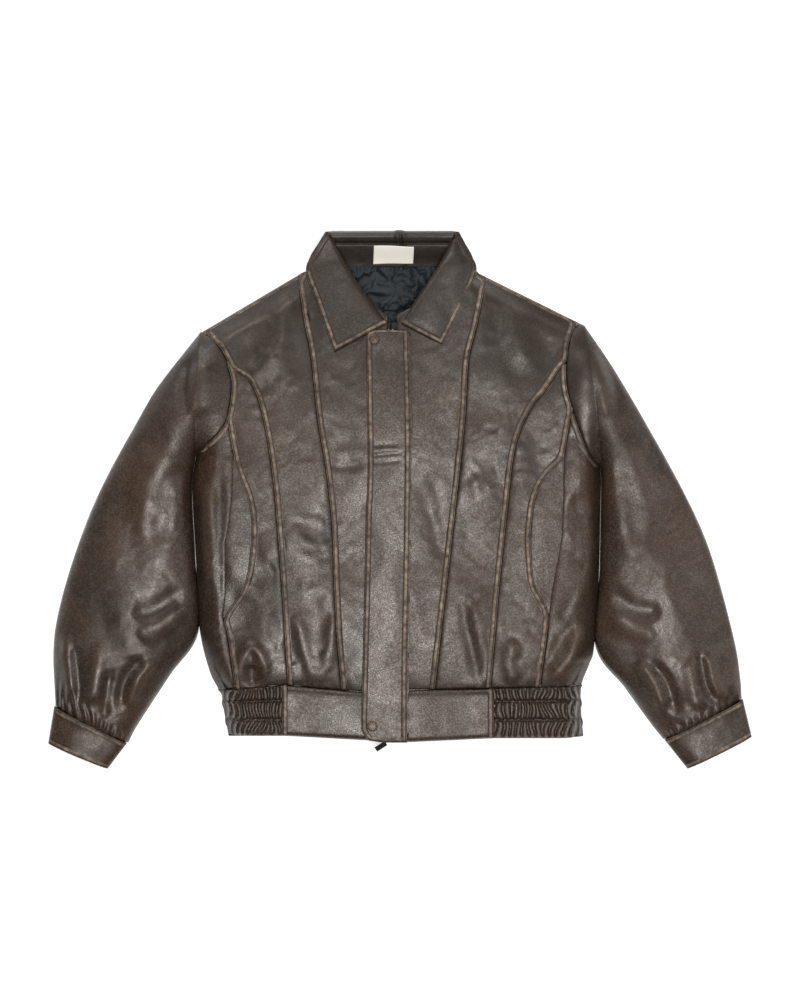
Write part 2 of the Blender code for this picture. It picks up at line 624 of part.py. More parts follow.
def make_sleeve(side):
    """A sleeve below its fold line: upper and under leather, lining, and the cuff band."""
    steps = 14
    lining_low, lining_lost = 0.0024, 0.0140
    lining_start, lining_run = 0.02, 0.965
    lining_inset, lining_width = 0.11, 0.78
    cuff_start, cuff_run, cuff_wall = 0.012, 0.988, 0.0024

    def height_at(u):
        """The sleeve keeps its height over the upper arm and falls to the cuff's from there."""
        return SLEEVE_HEIGHT + (CUFF_HEIGHT - SLEEVE_HEIGHT) * smooth_step(u * 1.4 - 0.4)

    def upper(across, along):
        u = along / steps
        v = across if side == "right" else 1.0 - across
        point = sleeve_plan(side, u, v)
        rise = math.sin(math.pi * v) ** 0.5
        return Vector((point.x, point.y, EDGE_LOW + LEATHER + (height_at(u) - EDGE_LOW - LEATHER) * rise))

    def under(across, along):
        point = upper(across, along)
        point.z = BACK_TOP
        return point

    sheet_solid("sleeve_upper_" + side, 8, steps, upper, LEATHER, leather("sleeve_upper"))
    sheet_solid("sleeve_under_" + side, 4, steps, under, LEATHER, leather("sleeve_under"))

    def lining_ring(u, angle):
        v = 0.5 - 0.5 * math.cos(angle)
        down = lining_start + lining_run * u
        point = sleeve_plan(side, down, lining_inset + lining_width * v)
        half = (height_at(down) - lining_lost) / 2.0
        return Vector((point.x, point.y, lining_low + half + half * math.sin(angle)))

    def cuff_ring(u, angle):
        v = 0.5 - 0.5 * math.cos(angle)
        seam_point = spline_point(SLEEVE_OUTER[side], 1.0).lerp(spline_point(SLEEVE_INNER[side], 1.0), v)
        end = Vector(CUFF_END[side][0]).lerp(Vector(CUFF_END[side][1]), v)
        point = seam_point.lerp(end, cuff_start + cuff_run * u)
        half = CUFF_HEIGHT / 2.0
        return Vector((point.x, point.y, half + half * math.sin(angle)))

    tube("sleeve_lining_" + side, lining_ring, 10, 12, LINING, cloth("sleeve_lining"))
    tube("cuff_" + side, cuff_ring, 2, 24, cuff_wall, leather("cuff"))


def tube(name, ring, lengths, sides, wall, finish):
    """An open tube through rings of points, with its wall grown inwards."""
    bpy.ops.mesh.primitive_grid_add(x_subdivisions=sides, y_subdivisions=lengths, size=2.0)
    obj = bpy.context.object
    obj.name = name
    mesh = obj.data
    mesh.name = name
    for vertex in mesh.vertices:
        angle = (vertex.co.x + 1.0) * math.pi
        vertex.co = ring((vertex.co.y + 1.0) / 2.0, angle)
    shape = bmesh.new()
    shape.from_mesh(mesh)
    bmesh.ops.remove_doubles(shape, verts=shape.verts[:], dist=0.00005)
    bmesh.ops.recalc_face_normals(shape, faces=shape.faces[:])
    face = max(shape.faces, key=lambda item: item.calc_center_median().z)
    if face.normal.z < 0.0:
        bmesh.ops.reverse_faces(shape, faces=shape.faces[:])
    shape.to_mesh(mesh)
    shape.free()
    mesh.shade_smooth()
    shell = obj.modifiers.new("wall", "SOLIDIFY")
    shell.thickness = wall
    shell.offset = -1.0
    return finish_node(obj, finish)


clear_scene()
JACKET = collection("riding_jacket")
CUTTERS = collection("cutters")
make_back()
for wearer_side in ("right", "left"):
    make_front(wearer_side)
    make_centre_front(wearer_side)
    make_waistband(wearer_side)
    make_sleeve(wearer_side)
make_collar_back()
make_flap()
make_slider()
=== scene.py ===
import math

import bmesh
import bpy
import numpy as np
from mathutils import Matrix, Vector


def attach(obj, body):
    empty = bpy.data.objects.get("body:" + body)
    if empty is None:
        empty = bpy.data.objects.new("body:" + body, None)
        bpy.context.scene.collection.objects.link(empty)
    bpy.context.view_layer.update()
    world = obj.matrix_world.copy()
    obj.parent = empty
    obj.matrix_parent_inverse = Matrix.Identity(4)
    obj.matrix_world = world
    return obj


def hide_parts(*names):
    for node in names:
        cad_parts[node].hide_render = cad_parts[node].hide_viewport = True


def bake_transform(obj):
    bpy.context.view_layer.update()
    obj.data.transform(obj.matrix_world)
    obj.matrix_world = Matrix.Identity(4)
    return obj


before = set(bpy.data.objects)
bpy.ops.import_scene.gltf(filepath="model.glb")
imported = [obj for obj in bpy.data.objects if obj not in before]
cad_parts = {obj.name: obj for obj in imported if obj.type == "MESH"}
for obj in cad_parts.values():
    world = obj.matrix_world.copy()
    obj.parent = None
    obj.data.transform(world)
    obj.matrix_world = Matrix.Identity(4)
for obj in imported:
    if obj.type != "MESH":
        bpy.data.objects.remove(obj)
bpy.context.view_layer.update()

# Room: a pale floor under a jacket laid flat, a camera straight above it, one soft light overhead
# and two wide ones beyond the collar and the wearer's left sleeve.
camera_lens = 85.0
frame_height = 1.40
camera_height = camera_lens / 36.0 * frame_height + 0.030
camera_data = bpy.data.cameras.new("camera")
camera_data.lens = camera_lens
camera = bpy.data.objects.new("camera", camera_data)
camera.location = (0.0, 0.0, camera_height)
bpy.context.scene.collection.objects.link(camera)
bpy.context.scene.camera = camera
bpy.context.scene.view_settings.view_transform = "Standard"

bpy.ops.object.select_all(action="DESELECT")
bpy.ops.mesh.primitive_plane_add(size=30.0, location=(0.0, 0.0, -0.0010))
floor = bpy.context.object
floor.name = "floor"
floor_paint = bpy.data.materials.new("floor_paint")
floor_paint.use_nodes = True
floor_shader = floor_paint.node_tree.nodes["Principled BSDF"]
floor_shader.inputs["Base Color"].default_value = (0.90, 0.90, 0.90, 1.0)
floor_shader.inputs["Roughness"].default_value = 0.9
floor_shader.inputs["Emission Color"].default_value = (1.0, 1.0, 1.0, 1.0)
floor_shader.inputs["Emission Strength"].default_value = 0.35
floor.data.materials.append(floor_paint)

world = bpy.data.worlds.new("studio")
world.use_nodes = True
world.node_tree.nodes["Background"].inputs["Color"].default_value = (1.0, 1.0, 1.0, 1.0)
world.node_tree.nodes["Background"].inputs["Strength"].default_value = 0.20
bpy.context.scene.world = world


def soft_light(name, place, size, power):
    lamp = bpy.data.lights.new(name, "AREA")
    lamp.shape = "RECTANGLE"
    lamp.size, lamp.size_y = size
    lamp.energy = power
    holder = bpy.data.objects.new(name, lamp)
    holder.location = place
    holder.rotation_euler = (-Vector(place)).to_track_quat("-Z", "Y").to_euler()
    bpy.context.scene.collection.objects.link(holder)


soft_light("light_over", (0.15, -0.70, 4.2), (1.2, 1.2), 116.0)
soft_light("light_head", (-0.9, 2.6, 1.9), (2.4, 0.7), 62.0)
soft_light("light_right", (2.4, 0.4, 1.7), (0.7, 2.4), 16.0)


# Outer leather of the body: dark brown, waxed to a satin finish and rubbed back to tan along the
# lapped seams. The front is cut into long panels from shoulder to waistband. Each is a flat cut
# piece that takes up the height of the padded front, its folds, and the ridge of its lapped seam.
TAN_BAND = 0.0070         # width of a lapped seam between its two stitch rows
BODY_TOP = 0.0382         # height of the front over the padded back
EDGE_TOP = 0.0036         # height of the front where it meets the back
SIDE_ROLL = 0.034
SHOULDER_SLOPE = 0.0085   # how far the front falls towards the shoulders
RUMPLE = 0.5              # how much more uneven the leather is away from the flap
FOLD_SPREAD = 1.30        # folds of thick leather are broad beside their height
HEM_SEAM = -0.262
GRID = 0.0022             # spacing of the points on a panel
LEATHER = 0.0014

SHOULDER = {"right": ((-0.279, 0.237), (-0.133, 0.3235)), "left": ((0.254, 0.249), (0.109, 0.3206))}
ARMHOLE = {
    "right": ((-0.279, 0.237), (-0.258, 0.221), (-0.243, 0.198), (-0.240, 0.184), (-0.235, 0.160),
              (-0.242, 0.113), (-0.258, 0.089), (-0.287, 0.066)),
    "left": ((0.254, 0.249), (0.242, 0.237), (0.234, 0.204), (0.233, 0.162), (0.242, 0.124),
             (0.262, 0.071), (0.283, 0.045)),
}
SIDE_EDGE = {
    "right": ((-0.287, 0.066), (-0.293, 0.017), (-0.288, -0.085), (-0.283, -0.180), (-0.269, -0.239),
              (-0.254, -0.267), (-0.248, -0.300), (-0.241, -0.337)),
    "left": ((0.283, 0.045), (0.283, 0.017), (0.281, -0.100), (0.274, -0.206), (0.267, -0.232),
             (0.256, -0.262), (0.256, -0.300), (0.259, -0.337)),
}
INNER_SEAM = {
    "right": ((-0.146, 0.330), (-0.135, 0.254), (-0.125, 0.202), (-0.115, 0.111), (-0.105, 0.052),
              (-0.096, -0.026), (-0.092, -0.124), (-0.088, -0.197), (-0.082, -0.262)),
    "left": ((0.124, 0.330), (0.110, 0.254), (0.096, 0.195), (0.092, 0.124), (0.086, 0.062),
             (0.073, -0.055), (0.063, -0.141), (0.057, -0.193), (0.049, -0.262)),
}
OUTER_SEAM = {
    "right": ((-0.236, 0.184), (-0.216, 0.1715), (-0.202, 0.150), (-0.192, 0.117), (-0.182, 0.062),
              (-0.174, -0.006), (-0.164, -0.141), (-0.157, -0.262)),
    "left": ((0.234, 0.196), (0.222, 0.181), (0.205, 0.155), (0.182, 0.125), (0.161, 0.072),
             (0.149, -0.026), (0.137, -0.143), (0.127, -0.262)),
}
POCKET_SEAM = {
    "right": ((-0.242, 0.116), (-0.232, 0.060), (-0.224, 0.033), (-0.212, 0.001), (-0.207, -0.036),
              (-0.210, -0.085), (-0.220, -0.124), (-0.245, -0.164), (-0.241, -0.190), (-0.231, -0.262)),
    "left": ((0.240, 0.122), (0.236, 0.101), (0.227, 0.058), (0.204, 0.033), (0.189, 0.001),
             (0.183, -0.045), (0.184, -0.085), (0.189, -0.120), (0.207, -0.157), (0.204, -0.200),
             (0.196, -0.262)),
}
POCKET_MOUTH = {
    "right": ((-0.242, 0.116), (-0.233, 0.060), (-0.237, -0.022), (-0.244, -0.065), (-0.244, -0.132),
              (-0.247, -0.164), (-0.242, -0.190), (-0.232, -0.262)),
    "left": ((0.240, 0.122), (0.236, 0.101), (0.229, 0.052), (0.228, -0.016), (0.224, -0.065),
             (0.213, -0.124), (0.209, -0.157), (0.205, -0.200), (0.197, -0.262)),
}
ROLL_LINE = {
    "right": ((-0.099, 0.376), (-0.082, 0.342), (-0.064, 0.311), (-0.040, 0.277), (-0.017, 0.246)),
    "left": ((0.077, 0.376), (0.064, 0.347), (0.051, 0.323), (0.022, 0.280), (0.000, 0.246)),
}
ZIP_LINE = ((-0.0130, 0.247), (-0.0196, -0.337))

# Ridges (positive) and valleys that the laid jacket has: where they run, their width and height.
BODY_FOLDS = (
    (((0.263, 0.033), (0.270, -0.026), (0.268, -0.100), (0.236, -0.153), (0.226, -0.200)), 0.010, 0.0035),
    (((0.250, 0.020), (0.252, -0.040), (0.250, -0.110)), 0.009, -0.0040),
    (((0.262, -0.170), (0.240, -0.215), (0.206, -0.257)), 0.009, 0.0040),
    (((0.245, -0.160), (0.215, -0.215), (0.196, -0.245)), 0.008, -0.0030),
    (((0.022, 0.050), (0.046, -0.020), (0.066, -0.100)), 0.010, -0.0016),
    (((0.044, 0.050), (0.060, -0.010), (0.078, -0.080)), 0.012, 0.0012),
    (((0.084, -0.130), (0.098, -0.195), (0.112, -0.262)), 0.007, -0.0026),
    (((0.100, -0.140), (0.114, -0.205), (0.124, -0.262)), 0.009, 0.0022),
    (((0.160, -0.262), (0.152, -0.225), (0.158, -0.190)), 0.008, 0.0026),
    (((-0.226, -0.262), (-0.222, -0.225), (-0.207, -0.206), (-0.192, -0.225), (-0.186, -0.262)),
     0.007, 0.0042),
    (((-0.206, -0.262), (-0.206, -0.228)), 0.007, -0.0050),
    (((-0.146, -0.150), (-0.132, -0.215), (-0.117, -0.262)), 0.008, 0.0026),
    (((-0.090, -0.150), (-0.100, -0.215), (-0.114, -0.262)), 0.008, 0.0026),
    (((-0.146, -0.262), (-0.150, -0.225)), 0.006, 0.0020),
    (((-0.158, 0.305), (-0.165, 0.255), (-0.172, 0.222), (-0.196, 0.184), (-0.216, 0.150)), 0.012, 0.0048),
    (((-0.176, 0.300), (-0.186, 0.250), (-0.196, 0.220), (-0.226, 0.190)), 0.016, -0.0030),
    (((0.150, 0.290), (0.160, 0.250), (0.170, 0.215), (0.196, 0.172)), 0.014, 0.0040),
    (((0.178, 0.275), (0.190, 0.235), (0.204, 0.205), (0.226, 0.188)), 0.016, -0.0026),
    (((-0.108, 0.050), (-0.080, 0.047), (-0.040, 0.052)), 0.006, -0.0014),
    (((-0.098, 0.064), (-0.070, 0.066), (-0.030, 0.068)), 0.007, 0.0007),
    (((-0.272, 0.030), (-0.272, -0.060), (-0.268, -0.150)), 0.012, 0.0030),
    (((-0.252, 0.040), (-0.254, -0.060), (-0.256, -0.150)), 0.008, -0.0034),
    (((-0.212, -0.118), (-0.190, -0.106), (-0.168, -0.098)), 0.009, -0.0016),
    (((-0.150, 0.050), (-0.130, -0.010), (-0.110, -0.080)), 0.016, -0.0012),
    (((0.100, 0.040), (0.118, 0.000), (0.142, -0.030)), 0.016, 0.0018),
)


def flowing(points, steps=12):
    """A dense smooth curve through a few points."""
    given = np.array(points, dtype=float)
    ahead = np.vstack([2 * given[0] - given[1], given, 2 * given[-1] - given[-2]])
    s = np.linspace(0.0, 1.0, steps, endpoint=False)[:, None]
    parts = []
    for p0, p1, p2, p3 in zip(ahead, ahead[1:], ahead[2:], ahead[3:]):
        parts.append(0.5 * (2 * p1 + (p2 - p0) * s + (2 * p0 - 5 * p1 + 4 * p2 - p3) * s ** 2
                            + (3 * p1 - 3 * p2 + p3 - p0) * s ** 3))
    return np.vstack(parts + [given[-1:]])


def x_at(points, y):
    """Where a seam that runs up the jacket crosses each level."""
    line = flowing(points)
    order = np.argsort(line[:, 1])
    return np.interp(y, line[order, 1], line[order, 0])


def distance_to(points, x, y):
    """Distance from each point to a smooth line, and how far along the line its nearest point is."""
    line = flowing(points)
    best = np.full(x.shape, 9.0)
    along = np.zeros(x.shape)
    for i, (a, b) in enumerate(zip(line, line[1:])):
        run = b - a
        s = np.clip(((x - a[0]) * run[0] + (y - a[1]) * run[1]) / max(run @ run, 1e-12), 0.0, 1.0)
        reach = np.hypot(x - a[0] - s * run[0], y - a[1] - s * run[1])
        nearer = reach < best
        best = np.where(nearer, reach, best)
        along = np.where(nearer, (i + s) / (len(line) - 1), along)
    return best, along


def ease(value):
    value = np.clip(value, 0.0, 1.0)
    return value * value * (3.0 - 2.0 * value)


def drift(x, y, size, seed):
    """Smooth seeded noise between -1 and 1, with hills about one size across."""
    table = np.random.default_rng(seed).random((64, 64)) * 2.0 - 1.0
    u, v = x / size + 31.7, y / size + 29.3
    i, j = np.floor(u).astype(int), np.floor(v).astype(int)
    fu, fv = ease(u - i), ease(v - j)
    i0, i1, j0, j1 = i % 64, (i + 1) % 64, j % 64, (j + 1) % 64
    low = table[i0, j0] * (1 - fu) + table[i1, j0] * fu
    high = table[i0, j1] * (1 - fu) + table[i1, j1] * fu
    return low * (1 - fv) + high * fv


def hem_waved(x, y):
    """Levels near the waistband seam, which isn't quite straight."""
    wave = np.interp(x, (-0.254, -0.161, -0.057, 0.015, 0.127, 0.255),
                     (-0.0050, 0.0040, -0.0055, -0.0030, -0.0005, 0.0015))
    return y + wave * np.exp(-np.abs(y - HEM_SEAM) / 0.018)


def folds(shapes, x, y):
    total = np.zeros(x.shape)
    for points, width, height in shapes:
        spots = np.array(points)
        low, high = spots.min(axis=0) - 3 * width, spots.max(axis=0) + 3 * width
        near = (x > low[0]) & (x < high[0]) & (y > low[1]) & (y < high[1])
        if not near.any():
            continue
        reach, along = distance_to(points, x[near], y[near])
        strength = ease(along / 0.24) * ease((1.0 - along) / 0.24)
        taper = width * FOLD_SPREAD * (0.55 + 0.45 * strength)
        total[near] += height * np.exp(-(reach / taper) ** 2) * strength
    return total


def rumple(x, y):
    """Soft unevenness of worn leather: broad waves with finer ones on them."""
    wave = 0.0032 * drift(x, y * 0.7, 0.095, 3) + 0.0012 * drift(x * 1.2 + 0.3 * y, y * 0.8, 0.040, 5)
    bend = 0.010 * drift(x, y, 0.04, 8)
    return wave + 0.0003 * drift(x + bend, y - bend, 0.011, 11)


SIDES = (("right", -1.0), ("left", 1.0))


def body_height(x, y):
    """The top of the front leather before its seams: a flat top that rolls down at its outer edges."""
    rise = np.ones(x.shape)
    for side, sign in SIDES:
        mine = sign * x > 0.0
        inside = sign * x_at(SIDE_EDGE[side], np.minimum(y, SIDE_EDGE[side][0][1])) - sign * x
        rise = np.where(mine, np.minimum(rise, roll(inside)), rise)
        start, end = (np.array(p) for p in SHOULDER[side])
        run = (end - start) / np.linalg.norm(end - start)
        below = np.abs((x - start[0]) * run[1] - (y - start[1]) * run[0])
        rise = np.where(mine & (y > 0.14), np.minimum(rise, roll(below)), rise)
    beyond_flap = ease((np.abs(x) - 0.070) / 0.030)
    lift = folds(BODY_FOLDS, x, y) + (1.0 + RUMPLE * beyond_flap) * rumple(x, y)
    lift = lift - SHOULDER_SLOPE * ease((y - 0.13) / 0.16) * ease((np.abs(x) - 0.095) / 0.050)
    hem_pull = 0.0045 * np.exp(-(y - HEM_SEAM) / 0.012)
    return EDGE_TOP + (BODY_TOP - EDGE_TOP) * rise + lift * ease(rise * 1.3) - hem_pull * (rise > 0.5)


def roll(inside):
    return np.sin(np.clip(inside / SIDE_ROLL, 0.0, 1.0) * math.pi / 2.0)


def lap_ridge(reach):
    """The raised lap of a seam: a sharp outer edge, two sunk stitch rows, and a soft inner edge."""
    raised = ease(reach / 0.0007) * ease((TAN_BAND + 0.0008 - reach) / 0.0014)
    row_width = 0.00045
    outer_row = 0.65 * np.exp(-((reach - 0.0018) / row_width) ** 2)
    inner_row = 0.5 * np.exp(-((reach - 0.0064) / row_width) ** 2)
    return 0.0012 * raised - 0.0009 * (outer_row + inner_row)


def grid_sheet(name, columns, rows):
    """A grid of points as a new object, with each point's share across and along it."""
    bpy.ops.object.select_all(action="DESELECT")
    bpy.ops.mesh.primitive_grid_add(x_subdivisions=columns, y_subdivisions=rows, size=2.0)
    sheet = bpy.context.object
    sheet.name = name
    sheet.data.name = name
    spots = np.empty(len(sheet.data.vertices) * 3)
    sheet.data.vertices.foreach_get("co", spots)
    spots = spots.reshape(-1, 3)
    return sheet, (spots[:, 0] + 1.0) / 2.0, (spots[:, 1] + 1.0) / 2.0


def set_points(sheet, x, y, z):
    sheet.data.vertices.foreach_set("co", np.stack([x, y, z], axis=1).ravel())
    sheet.data.update()


def note(sheet, name, values):
    """Keeps a number for each point, which the material reads."""
    layer = sheet.data.attributes.new(name, "FLOAT", "POINT")
    layer.data.foreach_set("value", np.asarray(values, dtype=np.float32))


def unlapped(sheet, rub=0.0):
    """Marks a piece that has no lapped edge, with how much each of its points is lightened for rub-off wear
    and painted highlight.
    """
    count = len(sheet.data.vertices)
    note(sheet, "band", np.full(count, 1.0))
    note(sheet, "rub", np.broadcast_to(rub, count))


def back_with(sheet, thickness, finish, outward=True):
    """Turns the faces up, gives the sheet its thickness downwards, and dresses it."""
    shape = bmesh.new()
    shape.from_mesh(sheet.data)
    faces_up = sum(face.normal.z * face.calc_area() for face in shape.faces) > 0.0
    if faces_up != outward:
        bmesh.ops.reverse_faces(shape, faces=shape.faces[:])
    shape.to_mesh(sheet.data)
    shape.free()
    if thickness:
        wall = sheet.modifiers.new("thickness", "SOLIDIFY")
        wall.thickness = thickness
        wall.offset = -1.0
        bpy.context.view_layer.objects.active = sheet
        bpy.ops.object.modifier_apply(modifier=wall.name)
    sheet.data.shade_smooth()
    sheet.data.materials.clear()
    sheet.data.materials.append(finish)
    return sheet


def spaced(share, width, near, far):
    """Distances from one edge: close together within the lap at each end, even between."""
    count = int(round(1.0 / max(np.min(share[share > 0.0]), 1e-6)))
    index = np.rint(share * count).astype(int)
    squeeze = np.minimum(1.0, width / ((near[-1] + far[-1]) * 1.5))
    start, end = near[-1] * squeeze, width - far[-1] * squeeze
    inner = (index - len(near) + 1) / (count - len(near) - len(far) + 2)
    place = start + (end - start) * np.clip(inner, 0.0, 1.0)
    near_at = np.array(near)[np.clip(index, 0, len(near) - 1)] * squeeze
    far_at = width - np.array(far)[np.clip(count - index, 0, len(far) - 1)] * squeeze
    place = np.where(index < len(near), near_at, place)
    return np.where(count - index < len(far), far_at, place)


NEAR_LAP = (0.0, 0.0006, 0.0012, 0.0018, 0.0024, 0.0032, 0.0044, 0.0058, 0.0064, 0.0070, 0.0079, 0.0092)
NEAR_JOIN = (0.0, 0.0007, 0.0016, 0.0030, 0.0048)


class Socket:
    """A shader value that takes part in Python sums."""
    def __init__(self, tree, socket):
        self.tree = tree
        self.socket = socket

    def node(self, kind, settings=None, values=None, output=0):
        made = self.tree.nodes.new(kind)
        for key, value in (settings or {}).items():
            if key == "stops":
                while len(made.color_ramp.elements) < len(value):
                    made.color_ramp.elements.new(0.5)
                for element, (place, colour) in zip(made.color_ramp.elements, value):
                    element.position = place
                    element.color = (*colour, 1.0)
            else:
                setattr(made, key, value)
        for key, value in (values or {}).items():
            target = made.inputs[key]
            if isinstance(value, Socket):
                self.tree.links.new(value.socket, target)
            else:
                target.default_value = value
        return Socket(self.tree, made.outputs[output])

    def sum_with(self, operation, other, swapped=False, third=None):
        first, second = (other, self) if swapped else (self, other)
        values = {0: first, 1: second}
        if third is not None:
            values[2] = third
        return self.node("ShaderNodeMath", {"operation": operation}, values)

    def __add__(self, other):
        return self.sum_with("ADD", other)

    def __sub__(self, other):
        return self.sum_with("SUBTRACT", other)

    def __rsub__(self, other):
        return self.sum_with("SUBTRACT", other, swapped=True)

    def __mul__(self, other):
        return self.sum_with("MULTIPLY", other)

    __radd__ = __add__
    __rmul__ = __mul__

    def over(self, low, high):
        """0 below low, 1 above high, smooth between."""
        return self.node("ShaderNodeMapRange", {"interpolation_type": "SMOOTHSTEP"},
                         {"Value": self, "From Min": low, "From Max": high})

    def line(self, place, width):
        """1 on a thin line at a value, falling to 0 a width away."""
        away = (self - place).sum_with("ABSOLUTE", 0.0)
        return 1.0 - away.over(width * 0.35, width)

    def blend(self, other, share):
        """This colour turning into the other by a share."""
        mixed = self.node("ShaderNodeMix", {"data_type": "RGBA"}, {"Factor": share}, output=2)
        node = mixed.socket.node
        for index, colour in ((6, self), (7, other)):
            if isinstance(colour, Socket):
                self.tree.links.new(colour.socket, node.inputs[index])
            else:
                node.inputs[index].default_value = (*colour, 1.0)
        return mixed


def new_finish(name):
    """A new material with its shader and a first socket to build on."""
    finish = bpy.data.materials.new(name)
    finish.use_nodes = True
    tree = finish.node_tree
    shader = tree.nodes["Principled BSDF"]
    place = tree.nodes.new("ShaderNodeTexCoord").outputs["Object"]
    return finish, shader, Socket(tree, place)


def feed(shader, **sources):
    """Links or sets the shader's sockets, named with underscores for spaces."""
    for key, value in sources.items():
        target = shader.inputs[key.replace("_", " ")]
        if isinstance(value, Socket):
            value.tree.links.new(value.socket, target)
        else:
            target.default_value = value


def noise(place, scale, detail=3.0, rough=0.5, twist=0.0):
    return place.node("ShaderNodeTexNoise", {}, {"Vector": place, "Scale": scale, "Detail": detail,
                                                  "Roughness": rough, "Distortion": twist})


def worn_leather(name, deep=(0.0200, 0.0112, 0.0068), warm=(0.0460, 0.0205, 0.0088),
                 dusty=(0.0800, 0.0650, 0.0530), stain=0.0, rub_and_highlight_colour=(0.095, 0.062, 0.040), rub_and_highlight_strength=0.4):
    """Waxed brown leather with a fine pebble, rubbed tan on its lapped seams, lightened on its ridges for
    rub-off wear and painted highlight, and darkened high up as painted shade.
    """
    finish, shader, place = new_finish(name)
    band = place.node("ShaderNodeAttribute", {"attribute_name": "band"}, output=2)
    rub = place.node("ShaderNodeAttribute", {"attribute_name": "rub"}, output=2)
    patches = noise(place, 7.0, 4.0, 0.55, 0.6).over(0.38, 0.66)
    clouds = noise(place, 16.0, 5.0, 0.6, 0.8)
    flecks = noise(place, 430.0, 3.0, 0.65)
    grit = noise(place, 1500.0, 2.0, 0.6)
    base = place.node("ShaderNodeRGB")
    base.socket.default_value = (*deep, 1.0)
    colour = base.blend(warm, patches * 0.8 + stain)
    mottle = noise(place, 150.0, 3.0, 0.6)
    colour = colour.blend(dusty, clouds.over(0.44, 0.74) * 0.28)
    colour = colour.blend(dusty, mottle.over(0.50, 0.72) * 0.30)
    colour = colour.blend(dusty, flecks.over(0.50, 0.64) * (0.20 + 0.7 * clouds))
    colour = colour.blend((0.007, 0.0040, 0.0025), (1.0 - flecks.over(0.38, 0.52)) * 0.65)
    # Painted shade: towards the collar and shoulders (higher y) the leather is darkened and made less glossy,
    # standing in for the shade that falls there.
    level = place.node("ShaderNodeSeparateXYZ", {}, {"Vector": place}, output=1)
    painted_upper_shade = level.over(0.09, 0.21)
    colour = colour.blend((0.0125, 0.0078, 0.0052), painted_upper_shade * 0.60)
    # Rub-off wear and painted highlight: the paler rub colour is laid where a piece marks its ridges and
    # folds.
    colour = colour.blend(rub_and_highlight_colour, rub.over(0.15, 1.0) * (0.10 + rub_and_highlight_strength * flecks))
    streaks = noise(place, 130.0, 4.0, 0.55)
    tan = base.blend((0.150, 0.104, 0.072), streaks.over(0.26, 0.52))
    tan = tan.blend((0.310, 0.238, 0.178), streaks.over(0.48, 0.70) * 0.85)
    on_band = (1.0 - band.over(TAN_BAND - 0.0009, TAN_BAND + 0.0002)) * band.over(0.0001, 0.0006)
    colour = colour.blend(tan, on_band * (0.35 + 0.6 * clouds.over(0.30, 0.60)))
    rows = band.line(0.0019, 0.0012) + band.line(0.0064, 0.0006) * 0.4 + band.line(-0.0002, 0.0012)
    rows = rows + band.line(TAN_BAND + 0.0010, 0.0010) * 0.7
    colour = colour.blend((0.006, 0.004, 0.003), rows.over(0.0, 1.0) * 0.9)
    pebble = place.node("ShaderNodeTexVoronoi", {"feature": "DISTANCE_TO_EDGE"},
                        {"Vector": place, "Scale": 620.0, "Randomness": 1.0})
    rise = pebble.over(0.0, 0.35) * 0.5 + grit * 0.30 + flecks * 1.0 + noise(place, 90.0, 4.0, 0.6, 0.5) * 1.6
    bump = place.node("ShaderNodeBump", {}, {"Strength": 0.20, "Distance": 0.0006, "Height": rise})
    matt = noise(place, 11.0, 5.0, 0.62, 1.1).over(0.40, 0.62)
    gloss = 0.37 - 0.17 * flecks.over(0.30, 0.66) * (0.30 + clouds) + 0.14 * matt + on_band * 0.18
    gloss = gloss + 0.12 * painted_upper_shade + 0.05 * patches
    feed(shader, Base_Color=colour, Roughness=gloss, Normal=bump)
    shader.inputs["Specular IOR Level"].default_value = 0.50
    shader.inputs["Specular Tint"].default_value = (1.0, 0.93, 0.87, 1.0)
    return finish


def ridge_rub_and_highlight(x, y, height):
    """How much a spot is lightened for rub-off wear and painted highlight: high along the top of sharp
    ridges.
    """
    step = 0.0030
    around = (height(x + step, y) + height(x - step, y) + height(x, y + step) + height(x, y - step)) / 4.0
    return np.clip((height(x, y) - around) / 0.00035, 0.0, 1.0)


body_leather = worn_leather("body_leather")
centre_leather = worn_leather("centre_leather", deep=(0.0180, 0.0110, 0.0072), stain=0.08)


def panel(name, outer, inner, low, high, finish, lapped, side, lap_above=-1.0):
    """A front panel between its outer seam and its inner one, both given as x for each level y."""
    levels = np.linspace(low, high, 40)
    width = float(np.max(np.abs(outer(levels) - inner(levels))))
    columns = max(int(width / GRID), 4) + len(NEAR_LAP) + len(NEAR_JOIN)
    rows = int((high - low) / GRID)
    sheet, across, along = grid_sheet(name, columns, rows)
    y = low + (high - low) * along
    edge, far_edge = outer(y), inner(y)
    reach = spaced(across, np.abs(far_edge - edge), NEAR_LAP, NEAR_JOIN)
    x = edge + np.sign(far_edge - edge) * reach
    outline = np.stack([outer(levels), levels], axis=1)
    from_lap, _ = distance_to(tuple(map(tuple, outline)), x, y)
    far_outline = np.stack([inner(levels), levels], axis=1)
    from_join, _ = distance_to(tuple(map(tuple, far_outline)), x, y)
    z = body_height(x, y)
    puff = 0.0013 * (1.0 - np.exp(-from_lap / 0.009)) * (1.0 - np.exp(-from_join / 0.009))
    z += puff - 0.0010 * np.exp(-from_join / 0.0016)
    if lapped:
        start, end = SHOULDER[side]
        below = distance_to((start, ((start[0] + end[0]) / 2.0, (start[1] + end[1]) / 2.0), end), x, y)[0]
        on_shoulder = (y > ARMHOLE[side][0][1]) & (below < from_lap + 0.0004)
        from_lap = np.where(on_shoulder, 0.0010 + np.abs(from_lap - 0.0034) * 3.0, from_lap)
        from_lap = np.where(y < lap_above, 1.0, from_lap)
        z += lap_ridge(from_lap) * ease((y - lap_above) / 0.004)
    set_points(sheet, x, hem_waved(x, y), z)
    note(sheet, "band", from_lap if lapped else np.full(x.shape, 1.0))
    # Ridges of the panel are lightened: rub-off wear and painted highlight.
    note(sheet, "rub", ridge_rub_and_highlight(x, y, body_height))
    back_with(sheet, LEATHER, finish)
    return sheet


